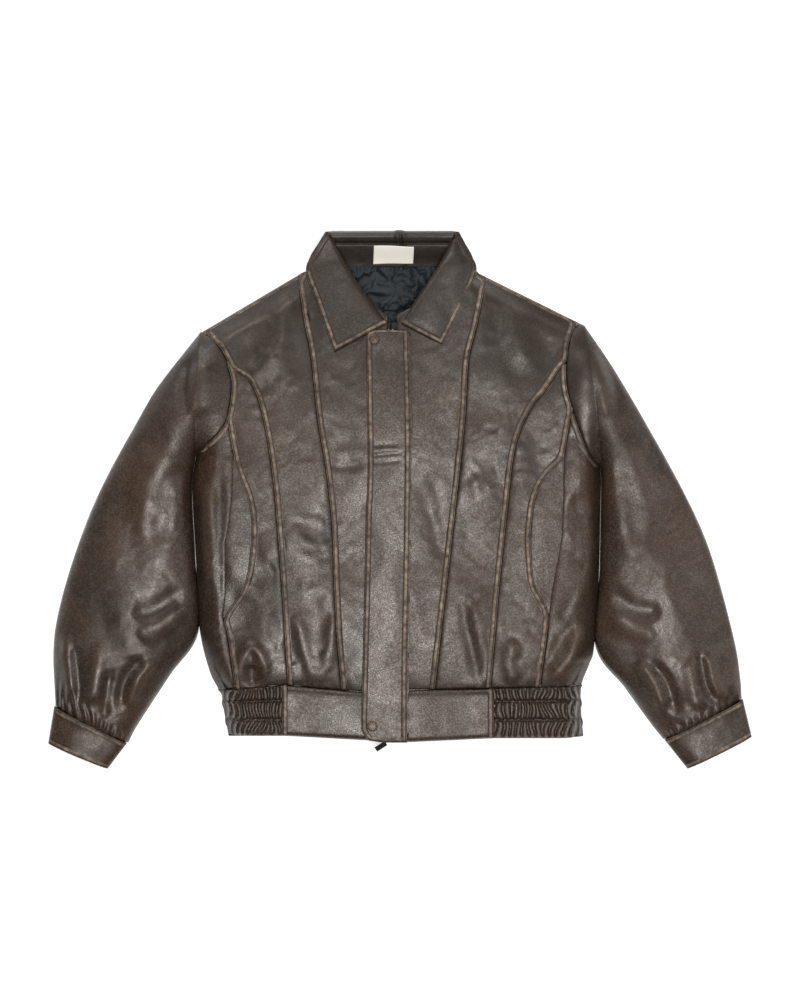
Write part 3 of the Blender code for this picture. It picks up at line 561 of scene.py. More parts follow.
def outline_of(side):
    """The outer edge of the body as x for each level: side edge, armhole, shoulder."""
    def place(y):
        y = np.asarray(y, dtype=float)
        low_end, high_end = ARMHOLE[side][-1][1], ARMHOLE[side][0][1]
        start, end = SHOULDER[side]
        shoulder = start[0] + (end[0] - start[0]) * np.clip((y - start[1]) / (end[1] - start[1]), 0.0, 1.0)
        armhole = x_at(ARMHOLE[side], y)
        edge = x_at(SIDE_EDGE[side], y)
        return np.where(y <= low_end, edge, np.where(y <= high_end, armhole, shoulder))
    return place


def seam(points):
    return lambda y: x_at(points, y)


def middle_edge(side):
    outline = outline_of(side)
    seam_top = OUTER_SEAM[side][0][1]
    return lambda y: np.where(y <= seam_top, x_at(OUTER_SEAM[side], y), outline(y))


def side_front_edge(side):
    pocket_top = POCKET_SEAM[side][0][1]
    return lambda y: np.where(y <= pocket_top, x_at(POCKET_SEAM[side], y), x_at(ARMHOLE[side], y))


def zip_x(y):
    (top_x, top_y), (low_x, low_y) = ZIP_LINE
    return low_x + (top_x - low_x) * (np.asarray(y) - low_y) / (top_y - low_y)


def front_edge(side):
    """The edge of a front beside the zip, and above the zip the fold of the open neck."""
    sign, set_back = (-1.0, 0.0048) if side == "right" else (1.0, 0.0090)

    def place(y):
        y = np.asarray(y, dtype=float)
        neck = ROLL_LINE[side][-1][1]
        start = zip_x(neck) + sign * set_back
        share = np.clip((y - neck - 0.008) / 0.070, 0.0, 1.0)
        above = start + (x_at(ROLL_LINE[side], y) + sign * 0.010 - start) * ease(share * 3.0)
        return np.where(y <= neck, zip_x(y) + sign * set_back, above)
    return place


def centre_edge(side):
    """The inner seam, and over the shoulder the shoulder's own edge."""
    outline = outline_of(side)
    nearer = np.maximum if side == "right" else np.minimum
    return lambda y: nearer(x_at(INNER_SEAM[side], y), outline(y))


SHOULDER_POINT = {"right": 0.3160, "left": 0.3138}


def turning_front(sheet):
    """Bakes a piece's placement into its points."""
    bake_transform(sheet)


for side, sign in SIDES:
    middle = panel("middle_" + side, middle_edge(side), seam(INNER_SEAM[side]), HEM_SEAM,
                   SHOULDER_POINT[side],
                   body_leather, True, side)
    turning_front(middle)
    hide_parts("front_middle_" + side)
    side_front = panel("side_front_" + side, side_front_edge(side), seam(OUTER_SEAM[side]), HEM_SEAM, 0.190,
                       body_leather, True, side)
    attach(side_front, "root")
    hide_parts("front_side_" + side)
    side_piece = panel("side_piece_" + side, outline_of(side), seam(POCKET_MOUTH[side]), HEM_SEAM,
                       POCKET_MOUTH[side][0][1] - 0.0005,
                       body_leather, True, side, lap_above=ARMHOLE[side][-1][1])
    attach(side_piece, "root")
    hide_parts("side_panel_" + side)
    centre = panel("centre_" + side, centre_edge(side), front_edge(side), HEM_SEAM, 0.3215,
                   centre_leather, True, side)
    turning_front(centre)
    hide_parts("front_centre_" + side)


# Pocket openings: a slit between the side front and the side piece, with a strip of the same leather
# turned in behind it and a woven pouch below.
POCKET_LEVELS = {"right": (-0.166, 0.070), "left": (-0.160, 0.110)}


def cloth_finish(name, deep, pale, scale=900.0, sheen=0.25, gloss=0.62):
    """Woven cloth with fine crossed threads and faint clouds of shade."""
    finish, shader, place = new_finish(name)
    across = place.node("ShaderNodeTexWave", {"bands_direction": "X"}, {"Vector": place, "Scale": scale / 3.0,
                                                                    "Distortion": 0.4})
    along = place.node("ShaderNodeTexWave", {"bands_direction": "Y"}, {"Vector": place, "Scale": scale / 3.0,
                                                                   "Distortion": 0.4}, output=1)
    weave = across * 0.5 + along * 0.5
    clouds = noise(place, 22.0, 4.0, 0.6)
    base = place.node("ShaderNodeRGB")
    base.socket.default_value = (*deep, 1.0)
    colour = base.blend(pale, clouds.over(0.35, 0.75) * 0.7 + weave * 0.2)
    bump = place.node("ShaderNodeBump", {}, {"Strength": 0.3, "Distance": 0.0003, "Height": weave})
    feed(shader, Base_Color=colour, Roughness=gloss + 0.12 * clouds, Normal=bump)
    shader.inputs["Specular IOR Level"].default_value = 0.30
    shader.inputs["Sheen Weight"].default_value = sheen
    shader.inputs["Sheen Roughness"].default_value = 0.5
    return finish


pocket_cloth = cloth_finish("pocket_cloth", (0.012, 0.012, 0.013), (0.030, 0.031, 0.033))
plain_leather = worn_leather("plain_leather")


def own_copy(node, name, finish):
    """A copy of a frame part's mesh as a new piece, merged, so that it can be worked on."""
    piece = bpy.data.objects.new(name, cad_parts[node].data.copy())
    bpy.context.scene.collection.objects.link(piece)
    shape = bmesh.new()
    shape.from_mesh(piece.data)
    bmesh.ops.remove_doubles(shape, verts=shape.verts[:], dist=0.00001)
    bmesh.ops.dissolve_limit(shape, angle_limit=0.01, verts=shape.verts[:], edges=shape.edges[:])
    shape.to_mesh(piece.data)
    shape.free()
    piece.data.materials.clear()
    piece.data.materials.append(finish)
    unlapped(piece)
    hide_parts(node)
    return piece


def refined(piece, longest, rounds=6):
    """Divides a piece's long edges until its faces are small enough to shape."""
    shape = bmesh.new()
    shape.from_mesh(piece.data)
    bmesh.ops.triangulate(shape, faces=shape.faces[:])
    for _ in range(rounds):
        long_edges = [edge for edge in shape.edges if edge.calc_length() > longest]
        if not long_edges:
            break
        bmesh.ops.subdivide_edges(shape, edges=long_edges, cuts=1)
        bmesh.ops.triangulate(shape, faces=shape.faces[:])
    shape.to_mesh(piece.data)
    shape.free()
    return piece


def points_of(piece):
    spots = np.empty(len(piece.data.vertices) * 3)
    piece.data.vertices.foreach_get("co", spots)
    return spots.reshape(-1, 3)


def dress(node, finish):
    """Gives a frame part whose shape is right its finished material."""
    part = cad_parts[node]
    part.data.materials.clear()
    part.data.materials.append(finish)


for side, sign in SIDES:
    low, high = POCKET_LEVELS[side]
    strip, across, along = grid_sheet("pocket_turning_" + side, 8, 100)
    y = low + (high - low) * along
    from_mouth = x_at(POCKET_MOUTH[side], y) + sign * 0.010
    to_seam = x_at(POCKET_SEAM[side], y) - sign * 0.004
    x = from_mouth + (to_seam - from_mouth) * across
    set_points(strip, x, y, body_height(x, y) - 0.0026 + 0.0005 * drift(x, y, 0.02, 31))
    unlapped(strip)
    back_with(strip, 0.0010, plain_leather)
    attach(strip, "root")
    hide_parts("pocket_facing_" + side)
    pouch = refined(own_copy("pocket_bag_" + side, "pouch_" + side, pocket_cloth), 0.012)
    spots = points_of(pouch)
    set_points(pouch, spots[:, 0], spots[:, 1], 0.0270 + (spots[:, 2] - 0.0272) * 0.45)
    pouch.data.shade_smooth()
    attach(pouch, "root")


# Sleeves: two leathers sewn into a tube that lies flat beside the body, its head set into the
# armhole, with long soft folds at the elbow and gathers where the cuff is sewn on.
SLEEVE_TOP = 0.0420
CUFF_TOP = 0.0320
SLEEVE_OUTER = {
    "right": ((-0.281, 0.237), (-0.337, 0.166), (-0.365, 0.121), (-0.419, 0.022), (-0.452, -0.057),
              (-0.479, -0.145), (-0.489, -0.209), (-0.486, -0.290)),
    "left": ((0.260, 0.246), (0.302, 0.184), (0.350, 0.103), (0.400, 0.012), (0.437, -0.071),
             (0.470, -0.190), (0.480, -0.250), (0.482, -0.280)),
}
SLEEVE_INNER = {
    "right": ((-0.2880, 0.064), (-0.2940, 0.012), (-0.2892, -0.085), (-0.2850, -0.186), (-0.325, -0.247),
              (-0.370, -0.316), (-0.384, -0.342)),
    "left": ((0.2840, 0.045), (0.2843, 0.012), (0.2822, -0.100), (0.2762, -0.2060), (0.318, -0.265),
             (0.352, -0.312), (0.372, -0.337)),
}
CUFF_END = {"right": ((-0.4945, -0.342), (-0.411, -0.3775)), "left": ((0.4945, -0.3325), (0.404, -0.3775))}
CHORD = {"right": ((-0.2790, 0.2370), (-0.2888, 0.0650)), "left": ((0.2585, 0.2470), (0.2860, 0.0450))}
SLEEVE_FOLDS = {
    "right": (
        (((-0.276, 0.205), (-0.284, 0.160), (-0.284, 0.110)), 0.008, 0.0050),
        (((-0.290, 0.205), (-0.299, 0.160), (-0.299, 0.115)), 0.008, -0.0045),
        (((-0.330, 0.090), (-0.352, 0.020), (-0.360, -0.060)), 0.016, 0.0030),
        (((-0.305, 0.060), (-0.330, 0.000), (-0.338, -0.080)), 0.012, -0.0030),
        (((-0.300, -0.120), (-0.340, -0.150), (-0.378, -0.160)), 0.010, -0.0040),
        (((-0.298, -0.150), (-0.338, -0.178), (-0.370, -0.190)), 0.010, 0.0035),
        (((-0.340, -0.220), (-0.365, -0.250), (-0.380, -0.300)), 0.008, 0.0050),
        (((-0.354, -0.218), (-0.384, -0.250), (-0.396, -0.300)), 0.007, -0.0045),
        (((-0.470, -0.180), (-0.466, -0.230), (-0.458, -0.286)), 0.008, 0.0045),
        (((-0.456, -0.200), (-0.451, -0.240), (-0.446, -0.290)), 0.006, -0.0045),
        (((-0.418, -0.195), (-0.424, -0.240), (-0.434, -0.292)), 0.009, 0.0035),
        (((-0.404, -0.230), (-0.412, -0.280), (-0.416, -0.312)), 0.006, -0.0035),
        (((-0.420, 0.000), (-0.400, -0.050), (-0.402, -0.110)), 0.018, 0.0022),
    ),
    "left": (
        (((0.268, 0.220), (0.284, 0.165), (0.290, 0.110)), 0.009, 0.0046),
        (((0.284, 0.215), (0.300, 0.165), (0.306, 0.115)), 0.009, -0.0040),
        (((0.318, 0.100), (0.344, 0.030), (0.352, -0.050)), 0.016, 0.0030),
        (((0.298, 0.060), (0.322, 0.000), (0.330, -0.080)), 0.012, -0.0030),
        (((0.292, -0.120), (0.330, -0.150), (0.370, -0.156)), 0.010, -0.0040),
        (((0.290, -0.155), (0.328, -0.182), (0.362, -0.190)), 0.010, 0.0036),
        (((0.330, -0.225), (0.355, -0.255), (0.370, -0.305)), 0.008, 0.0050),
        (((0.346, -0.222), (0.374, -0.258), (0.388, -0.305)), 0.007, -0.0046),
        (((0.430, -0.205), (0.440, -0.250), (0.458, -0.282)), 0.008, 0.0050),
        (((0.418, -0.210), (0.426, -0.255), (0.442, -0.290)), 0.006, -0.0046),
        (((0.404, -0.215), (0.410, -0.258), (0.420, -0.300)), 0.008, 0.0036),
        (((0.460, -0.180), (0.466, -0.230), (0.470, -0.280)), 0.007, 0.0030),
        (((0.410, 0.000), (0.392, -0.050), (0.398, -0.120)), 0.018, 0.0022),
    ),
}


def curve_points(points, share):
    """Points of a smooth curve at shares of its length in steps, as x and y."""
    line = flowing(points, 16)
    place = np.clip(share, 0.0, 1.0) * (len(line) - 1)
    index = np.arange(len(line))
    return np.interp(place, index, line[:, 0]), np.interp(place, index, line[:, 1])


def sleeve_place(side, u, v, surface):
    """The upper side of a sleeve; u runs from its fold line to the cuff and v from its outer side in."""
    outer_x, outer_y = curve_points(SLEEVE_OUTER[side], u)
    inner_x, inner_y = curve_points(SLEEVE_INNER[side], u)
    x = outer_x + (inner_x - outer_x) * v
    y = outer_y + (inner_y - outer_y) * v
    top = SLEEVE_TOP + (CUFF_TOP + 0.002 - SLEEVE_TOP) * ease(u * 1.4 - 0.4)
    rise = np.sin(math.pi * np.clip(v, 0.0, 1.0)) ** 0.5
    z = EDGE_TOP + (top - 0.0010 - EDGE_TOP) * rise
    if surface:
        lift = folds(SLEEVE_FOLDS[side], x, y) + 1.3 * rumple(x + 0.3, y)
        gathers = 0.0016 * np.sin(v * 62.0 + 3.0 * drift(x, y, 0.03, 17)) * ease((u - 0.90) / 0.09)
        neck_in = 0.0030 * np.exp(-(1.0 - u) / 0.012)
        z = z + (lift + gathers) * ease(rise * 1.5) - neck_in * rise
    return x, y, z


def head_place(side, s, v):
    """The sleeve head between the armhole seam, at s 0, and the fold line, at s 1."""
    (top_x, top_y), (low_x, low_y) = CHORD[side]
    chord_y = top_y + (low_y - top_y) * v
    chord_x = top_x + (low_x - top_x) * v
    hole_y = ARMHOLE[side][0][1] + (ARMHOLE[side][-1][1] - ARMHOLE[side][0][1]) * v
    hole_x = x_at(ARMHOLE[side], hole_y)
    x, y = hole_x + (chord_x - hole_x) * s, hole_y + (chord_y - hole_y) * s
    return x, y


def turning_sleeve(sheet):
    """Bakes a piece's placement into its points."""
    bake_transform(sheet)


HEAD_ROWS = 22
SLEEVE_ROWS = 210
SLEEVE_COLUMNS = 96
for side, sign in SIDES:
    sheet, across, along = grid_sheet("sleeve_" + side + "_upper", SLEEVE_COLUMNS, HEAD_ROWS + SLEEVE_ROWS)
    v = across
    row = np.rint(along * (HEAD_ROWS + SLEEVE_ROWS)).astype(int)
    s = np.clip(row / HEAD_ROWS, 0.0, 1.0)
    u = np.clip((row - HEAD_ROWS) / SLEEVE_ROWS, 0.0, 1.0)
    x, y, z = sleeve_place(side, u, v, True)
    head_x, head_y = head_place(side, s, v)
    in_head = row < HEAD_ROWS
    hole_x, hole_y = head_place(side, np.zeros(s.shape), v)
    chord_z = sleeve_place(side, np.zeros(s.shape), v, True)[2]
    body_z = body_height(hole_x, hole_y)
    head_lift = folds(SLEEVE_FOLDS[side], head_x, head_y)
    crown = 0.0030 * np.sin(math.pi * s) * np.sin(math.pi * np.clip(v, 0.0, 1.0))
    head_z = body_z + (chord_z - body_z) * ease(s) + crown
    head_z = head_z + head_lift * ease(s * 4.0) * (1.0 - ease(s * 2.0 - 1.0)) - 0.0018 * np.exp(-s / 0.06)
    x, y, z = (np.where(in_head, a, b) for a, b in ((head_x, x), (head_y, y), (head_z, z)))
    set_points(sheet, x, y, z)
    # Fold ridges of the sleeve are lightened: rub-off wear and painted highlight.
    unlapped(sheet, np.clip(folds(SLEEVE_FOLDS[side], x, y) / 0.0040, 0.0, 1.0) * 0.9)
    back_with(sheet, LEATHER, body_leather)
    turning_sleeve(sheet)
    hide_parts("sleeve_upper_" + side, "sleeve_head_" + side)

    under, across, along = grid_sheet("sleeve_" + side + "_under", 40, 90)
    x, y, _ = sleeve_place(side, along, across, False)
    rest = 0.0016 + 0.0006 * ease(drift(x, y, 0.03, 41))
    set_points(under, x, y, rest + 0.0012 * np.exp(-np.minimum(across, 1.0 - across) / 0.02))
    unlapped(under)
    back_with(under, 0.0014, plain_leather)
    turning_sleeve(under)
    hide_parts("sleeve_under_" + side)


# Cuffs: a doubled leather band sewn round each sleeve end, its two long edges lapped and stitched.
CUFF_WALL = 0.0024
CUFF_ROWS = 26
for side, sign in SIDES:
    sheet, across, along = grid_sheet("band_cuff_" + side, 112, CUFF_ROWS)
    angle = across * 2.0 * math.pi
    v = 0.5 - 0.5 * np.cos(angle)
    from_x = SLEEVE_OUTER[side][-1][0] + (SLEEVE_INNER[side][-1][0] - SLEEVE_OUTER[side][-1][0]) * v
    from_y = SLEEVE_OUTER[side][-1][1] + (SLEEVE_INNER[side][-1][1] - SLEEVE_OUTER[side][-1][1]) * v
    (near_x, near_y), (far_x, far_y) = CUFF_END[side]
    to_x, to_y = near_x + (far_x - near_x) * v, near_y + (far_y - near_y) * v
    length = float(np.mean(np.hypot(to_x - from_x, to_y - from_y)))
    steps = np.array(NEAR_LAP[:10])
    place = np.concatenate([steps, np.linspace(0.0070, length - 0.0070, 8)[1:-1], length - steps[::-1]])
    place = np.concatenate([place, [length + 0.0006]])
    reach = np.interp(along * CUFF_ROWS, np.arange(len(place)), place)
    share = np.clip(reach / length, 0.0, 1.0)
    x = from_x + (to_x - from_x) * share
    y = from_y + (to_y - from_y) * share
    half = CUFF_TOP / 2.0
    puff = 0.0008 * np.sin(math.pi * share)
    edge_gap = np.minimum(reach, length - reach)
    ridge = lap_ridge(np.maximum(edge_gap, 0.0)) * 0.8 - 0.0010 * np.exp(-np.abs(reach - 0.0006) / 0.0012)
    lift = (puff + ridge + 0.0009 * drift(x, y, 0.018, 57)) * np.sign(np.sin(angle))
    z = half + (half - 0.0006) * np.sin(angle) + lift * np.abs(np.sin(angle))
    set_points(sheet, x, y, np.maximum(z, 0.0005))
    note(sheet, "band", np.maximum(edge_gap, 0.0))
    note(sheet, "rub", np.abs(np.sin(angle * 3.0)) * 0.2)
    shape = bmesh.new()
    shape.from_mesh(sheet.data)
    bmesh.ops.remove_doubles(shape, verts=shape.verts[:], dist=0.00003)
    bmesh.ops.recalc_face_normals(shape, faces=shape.faces[:])
    top_face = max(shape.faces, key=lambda face: face.calc_center_median().z)
    if top_face.normal.z <= 0.0:
        bmesh.ops.reverse_faces(shape, faces=shape.faces[:])
    shape.to_mesh(sheet.data)
    shape.free()
    wall = sheet.modifiers.new("wall", "SOLIDIFY")
    wall.thickness = CUFF_WALL
    wall.offset = -1.0
    bpy.context.view_layer.objects.active = sheet
    bpy.ops.object.modifier_apply(modifier=wall.name)
    sheet.data.shade_smooth()
    sheet.data.materials.append(body_leather)
    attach(sheet, "sleeve_" + side)
    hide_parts("cuff_" + side)


# Waistband: a doubled leather band. Its front parts are flat, and at the sides it is gathered over
# wide elastic held by two rows of stitching, which puckers it into three rows of short pleats.
HEM_CLEAR = 0.0004        # from the hem seam down to the band
ELASTIC_ROWS = (-0.2815, -0.3075)
BAND_JOIN = {"right": -0.165, "left": 0.131}
PLEAT = {"right": 0.0090, "left": 0.0095}


def band_bottom(x):
    return np.interp(x, (-0.245, -0.162, -0.036, 0.015, 0.136, 0.259),
                     (-0.3300, -0.3300, -0.3365, -0.3385, -0.3330, -0.3290))


# The elastic's leather has a much paler rub colour, laid on its pleat tops: rub-off wear and painted
# highlight.
elastic_leather = worn_leather("elastic_leather", deep=(0.0120, 0.0075, 0.0052),
                               rub_and_highlight_colour=(0.170, 0.135, 0.108), rub_and_highlight_strength=0.85)

for side, sign in SIDES:
    join = BAND_JOIN[side]
    gathered, across, along = grid_sheet("elastic_" + side, 150, 74)
    y = HEM_SEAM - HEM_CLEAR + (band_bottom(join) + HEM_CLEAR - HEM_SEAM) * along
    outer = x_at(SIDE_EDGE[side], y)
    x = join + (outer - join) * across
    x = x + 0.0012 * np.sin(y * 240.0 + 1.3) * across * sign
    row = (y < ELASTIC_ROWS[0]).astype(int) + (y < ELASTIC_ROWS[1]).astype(int)
    wander = 0.0042 * drift(x, y, 0.020, 61) + 0.0016 * np.sin(y * 170.0 + x * 60.0)
    phase = (x + wander + row * 0.0026) / PLEAT[side] * 2.0 * math.pi
    pleat = (0.5 + 0.5 * np.cos(phase)) ** 1.30
    pinch = sum(np.exp(-((y - line) / 0.0026) ** 2) for line in ELASTIC_ROWS)
    ends = np.exp(-(HEM_SEAM - y) / 0.0035) + np.exp(-np.maximum(y - band_bottom(join), 0.0) / 0.0030)
    height = 0.0066 * pleat * (1.0 - 0.72 * np.clip(pinch + ends, 0.0, 1.0))
    height = height * (0.75 + 0.35 * drift(x, y, 0.016, 67))
    plump = -0.0030 * np.clip(pinch, 0.0, 1.0) - 0.0042 * ends - 0.0018
    rise = roll(np.abs(outer) - np.abs(x))
    z = EDGE_TOP + (BODY_TOP - EDGE_TOP) * rise + (height + plump) * ease(rise * 1.6)
    set_points(gathered, x, hem_waved(x, y), z)
    # Pleat tops are lightened: rub-off wear and painted highlight.
    unlapped(gathered, np.clip(height / 0.0040 - 0.60, 0.0, 1.0) * 2.0)
    back_with(gathered, LEATHER, elastic_leather)
    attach(gathered, "root")
    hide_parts("waistband_elastic_" + side)

    flat, across, along = grid_sheet("waistband_" + side, 90, 44)
    inner_end = zip_x(-0.300) + sign * (0.0050 if side == "right" else 0.0094)
    width = abs(inner_end - join)
    reach = spaced(across, np.full(across.shape, width), NEAR_LAP, NEAR_JOIN)
    x = join - sign * reach
    bottom = band_bottom(x)
    top = HEM_SEAM - HEM_CLEAR
    y = top + (bottom - top) * along
    gap_top, gap_low = top - y, y - bottom
    z = BODY_TOP - 0.0006 + 0.5 * rumple(x, y) + folds(BODY_FOLDS, x, y) * 0.4
    z = z + 0.0016 * (1.0 - np.exp(-gap_top / 0.008)) - 0.0046 * np.exp(-gap_top / 0.0035)
    z = z - 0.0060 * np.exp(-gap_low / 0.0022) + lap_ridge(reach) * 0.8 - 0.0016 * np.exp(-reach / 0.0012)
    set_points(flat, x, hem_waved(x, y), z)
    note(flat, "band", np.where(reach < 0.02, reach, 1.0))
    note(flat, "rub", np.clip(np.exp(-((gap_low - 0.0022) / 0.0012) ** 2), 0.0, 1.0) * 0.8)
    back_with(flat, LEATHER, centre_leather)
    turning_front(flat)
    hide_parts("waistband_front_" + side, "waistband_end_" + side)


# Collar: a folded leather collar. Its two wings lie on the fronts with piped, double-stitched edges,
# its stand lines the back of the neck, and the fall turns down behind it.
WING_TOP = 0.0412
WING_EDGE = {
    "right": ((-0.103, 0.375), (-0.117, 0.350), (-0.1315, 0.321), (-0.1165, 0.276), (-0.092, 0.206)),
    "left": ((0.081, 0.375), (0.094, 0.350), (0.107, 0.321), (0.089, 0.276), (0.059, 0.215)),
}
ROLL_TURN = ((0.0, 0.0095), (0.0004, 0.0075), (0.0001, 0.0058), (0.0003, 0.0042), (0.0010, 0.0028),
             (0.0022, 0.0016), (0.0040, 0.0007), (0.0062, 0.0002))
# A darker copy of the body leather for the collar wings and stand: painted shade for their place high by the
# neck.
shaded_wing_leather = worn_leather("shaded_wing_leather", deep=(0.0165, 0.0098, 0.0064), warm=(0.0330, 0.0160, 0.0080))

for side, sign in SIDES:
    columns = 56
    wing, across, along = grid_sheet("wing_" + side, columns, 110)
    edge_x, edge_y = curve_points(WING_EDGE[side], along)
    roll_x, roll_y = curve_points(ROLL_LINE[side], along)
    width = np.hypot(edge_x - roll_x, edge_y - roll_y)
    index = np.rint(across * columns).astype(int)
    turn = len(ROLL_TURN)
    near = np.array(NEAR_LAP) * np.minimum(1.0, width / 0.034)[:, None]
    lap_count = len(NEAR_LAP)
    turn_at = np.array([offset for offset, _ in ROLL_TURN])
    turn_drop = np.array([drop for _, drop in ROLL_TURN])
    inner = (index - turn + 1) / (columns - turn - lap_count + 2)
    start, end = turn_at[-1], width - near[:, -1]
    reach = start + (end - start) * np.clip(inner, 0.0, 1.0)
    reach = np.where(index < turn, turn_at[np.clip(index, 0, turn - 1)], reach)
    picked = near[np.arange(len(index)), np.clip(columns - index, 0, lap_count - 1)]
    reach = np.where(columns - index < lap_count, width - picked, reach)
    drop = np.where(index < turn, turn_drop[np.clip(index, 0, turn - 1)], 0.0)
    share = np.clip(reach / width, 0.0, 1.0)
    x = roll_x + (edge_x - roll_x) * share
    y = roll_y + (edge_y - roll_y) * share
    outer_gap, _ = distance_to(WING_EDGE[side], x, y)
    tip, end_point = np.array(WING_EDGE[side][-1]), np.array(ROLL_LINE[side][-1])
    low_gap, _ = distance_to((tuple(tip), tuple((tip + end_point) / 2.0), tuple(end_point)), x, y)
    gap = np.minimum(outer_gap, low_gap)
    swell = 0.0030 * np.sin(math.pi * np.clip(share, 0.0, 1.0) ** 0.7) * (0.4 + 0.6 * ease(gap / 0.02))
    fall = 0.012 * ease((y - 0.325) / 0.050)
    z = WING_TOP + 0.0004 - fall + swell - drop + lap_ridge(gap) * 1.2 + 0.5 * rumple(x + 0.1, y)
    z = z - 0.0022 * np.exp(-gap / 0.0009)
    set_points(wing, x, y, z)
    note(wing, "band", gap + 0.05 * ease((y - 0.318) / 0.012))
    # Lightened where the wing rolls down at the neck: rub-off wear and painted sheen.
    note(wing, "rub", np.clip(drop / 0.006, 0.0, 0.6))
    back_with(wing, 0.0012, shaded_wing_leather)
    start, end = (0.0, 0.372, 0.030), (0.0, 0.320, 0.030)
    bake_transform(wing)
    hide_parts("collar_wing_top_" + side)
    under = refined(own_copy("collar_wing_under_" + side, "wing_back_" + side, plain_leather), 0.010)
    under.data.shade_smooth()
    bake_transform(under)


STAND_LOW = 0.3265
CREASE = 0.3600
stand, across, along = grid_sheet("stand", 110, 60)
y = STAND_LOW + (0.3770 - STAND_LOW) * along
side_right = x_at(ROLL_LINE["right"], y) - 0.001
side_left = x_at(ROLL_LINE["left"], y) + 0.001
x = side_right + (side_left - side_right) * across
bow = 0.0012 * np.sin(math.pi * across)
z = 0.0085 + 0.0200 * ease((y - 0.322) / 0.046)
z = z + 0.0035 * np.exp(-((y - 0.3695) / 0.0055) ** 2) - 0.0040 * np.exp(-((y - CREASE) / 0.0016) ** 2)
z = z - 0.0060 * np.exp(-((y - 0.3772) / 0.0022) ** 2) + 0.7 * rumple(x, y * 1.5) + bow
seam_gap = np.abs(x - 0.0010 + 0.15 * (y - 0.367))
z = z - 0.0035 * np.exp(-seam_gap / 0.0011)
z = z + 0.0026 * np.exp(-((seam_gap - 0.0042) / 0.0028) ** 2) * (y > 0.357)
z = z - 0.0016 * np.exp(-(y - STAND_LOW) / 0.0012)
set_points(stand, x, y + 0.0016 * np.exp(-((x + 0.001) / 0.006) ** 2) * (y > 0.370), z)
# A lighter band along the top of the fold: rub-off wear and painted highlight.
unlapped(stand, np.exp(-((y - 0.3700) / 0.004) ** 2) * 0.5)
back_with(stand, 0.0014, shaded_wing_leather)
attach(stand, "root")
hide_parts("collar_stand")
fall = refined(own_copy("collar_fall", "fall", plain_leather), 0.006)
spots = points_of(fall)
edge_fade = ease((0.3775 - spots[:, 1]) / 0.004)
set_points(fall, spots[:, 0], spots[:, 1], spots[:, 2] - 0.0032 * ease((spots[:, 1] - 0.350) / 0.02)
           + 0.0004 * drift(spots[:, 0], spots[:, 1], 0.02, 71) * edge_fade)
fall.data.shade_smooth()
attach(fall, "root")

stand_back, across, along = grid_sheet("stand_back", 60, 16)
y = 0.3190 + (0.3560 - 0.3190) * along
right_x = np.interp(y, (0.319, 0.326, 0.356), (-0.136, -0.126, -0.108))
left_x = np.interp(y, (0.319, 0.326, 0.356), (0.112, 0.102, 0.086))
x = right_x + (left_x - right_x) * across
set_points(stand_back, x, y, 0.0022 + 0.0022 * ease(along) + 0.0004 * drift(x, y, 0.02, 73))
unlapped(stand_back)
back_with(stand_back, 0.0014, plain_leather)
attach(stand_back, "root")


# Neck label: a blank woven tab of cream ribbon, caught to the stand at its corners.
label_cloth = cloth_finish("label_cloth", (0.80, 0.75, 0.66), (0.90, 0.86, 0.79), scale=1500.0, gloss=0.55)
label, across, along = grid_sheet("neck_tab", 44, 22)
skew = 0.0010 * np.sin(across * 5.0)
x = -0.0370 + 0.0560 * across + 0.0012 * (along - 0.5)
y = 0.3315 + 0.0245 * along - 0.0024 * across * (along - 0.5) + skew * 0.4
z = 0.0128 + 0.0200 * ease((y - 0.322) / 0.046) + 0.0012 * np.sin(across * math.pi) + 0.0004 * skew
set_points(label, x, y, z)
back_with(label, 0.0005, label_cloth)
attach(label, "root")


# Flap over the zip: a long doubled strip of leather, sewn down beside the zip on the left front and
# lapped and stitched along both edges. Two covered snaps hold it.
FLAP_TOP = 0.0470
FLAP_FREE = ((-0.0405, 0.2370), (-0.0462, 0.2335), (-0.0470, 0.2200), (-0.0450, 0.052), (-0.0475, -0.026),
             (-0.0495, -0.124), (-0.0530, -0.258), (-0.0540, -0.315), (-0.0515, -0.325), (-0.0440, -0.3350))
FLAP_SEWN = ((0.0120, 0.2370), (0.0150, 0.097), (0.0140, -0.040), (0.0120, -0.144), (0.0105, -0.218),
             (0.0100, -0.3380))
FLAP_FOLDS = (
    (((-0.046, 0.0745), (-0.020, 0.0770), (0.000, 0.0765)), 0.0020, -0.0007),
    (((-0.046, 0.0605), (-0.020, 0.0640), (0.006, 0.0660)), 0.0022, -0.0008),
    (((-0.046, 0.0680), (-0.020, 0.0705), (0.006, 0.0715)), 0.0030, 0.0006),
    (((-0.046, 0.0520), (-0.020, 0.0530), (0.006, 0.0560)), 0.0026, -0.0007),
    (((-0.040, 0.210), (-0.020, 0.200), (0.000, 0.205)), 0.010, -0.0008),
)
flap, across, along = grid_sheet("flap", 64, 250)
top_y = FLAP_FREE[0][1]
free_line = flowing(FLAP_FREE)
order = np.argsort(free_line[:, 1])
y = top_y + (FLAP_FREE[-1][1] - top_y) * along
free_x = np.interp(y, free_line[order, 1], free_line[order, 0])
sewn_x = x_at(FLAP_SEWN, y)
reach = spaced(across, sewn_x - free_x, NEAR_LAP, NEAR_LAP)
x = free_x + reach
from_free, _ = distance_to(FLAP_FREE, x, y)
from_sewn, _ = distance_to(FLAP_SEWN, x, y)
from_top = np.abs(top_y - y)
z = FLAP_TOP + 0.0010 * np.sin(math.pi * np.clip(across, 0.0, 1.0)) + folds(FLAP_FOLDS, x, y)
z = z + 0.0006 * drift(x, y, 0.05, 81) + lap_ridge(from_free) + lap_ridge(from_sewn) * 0.9
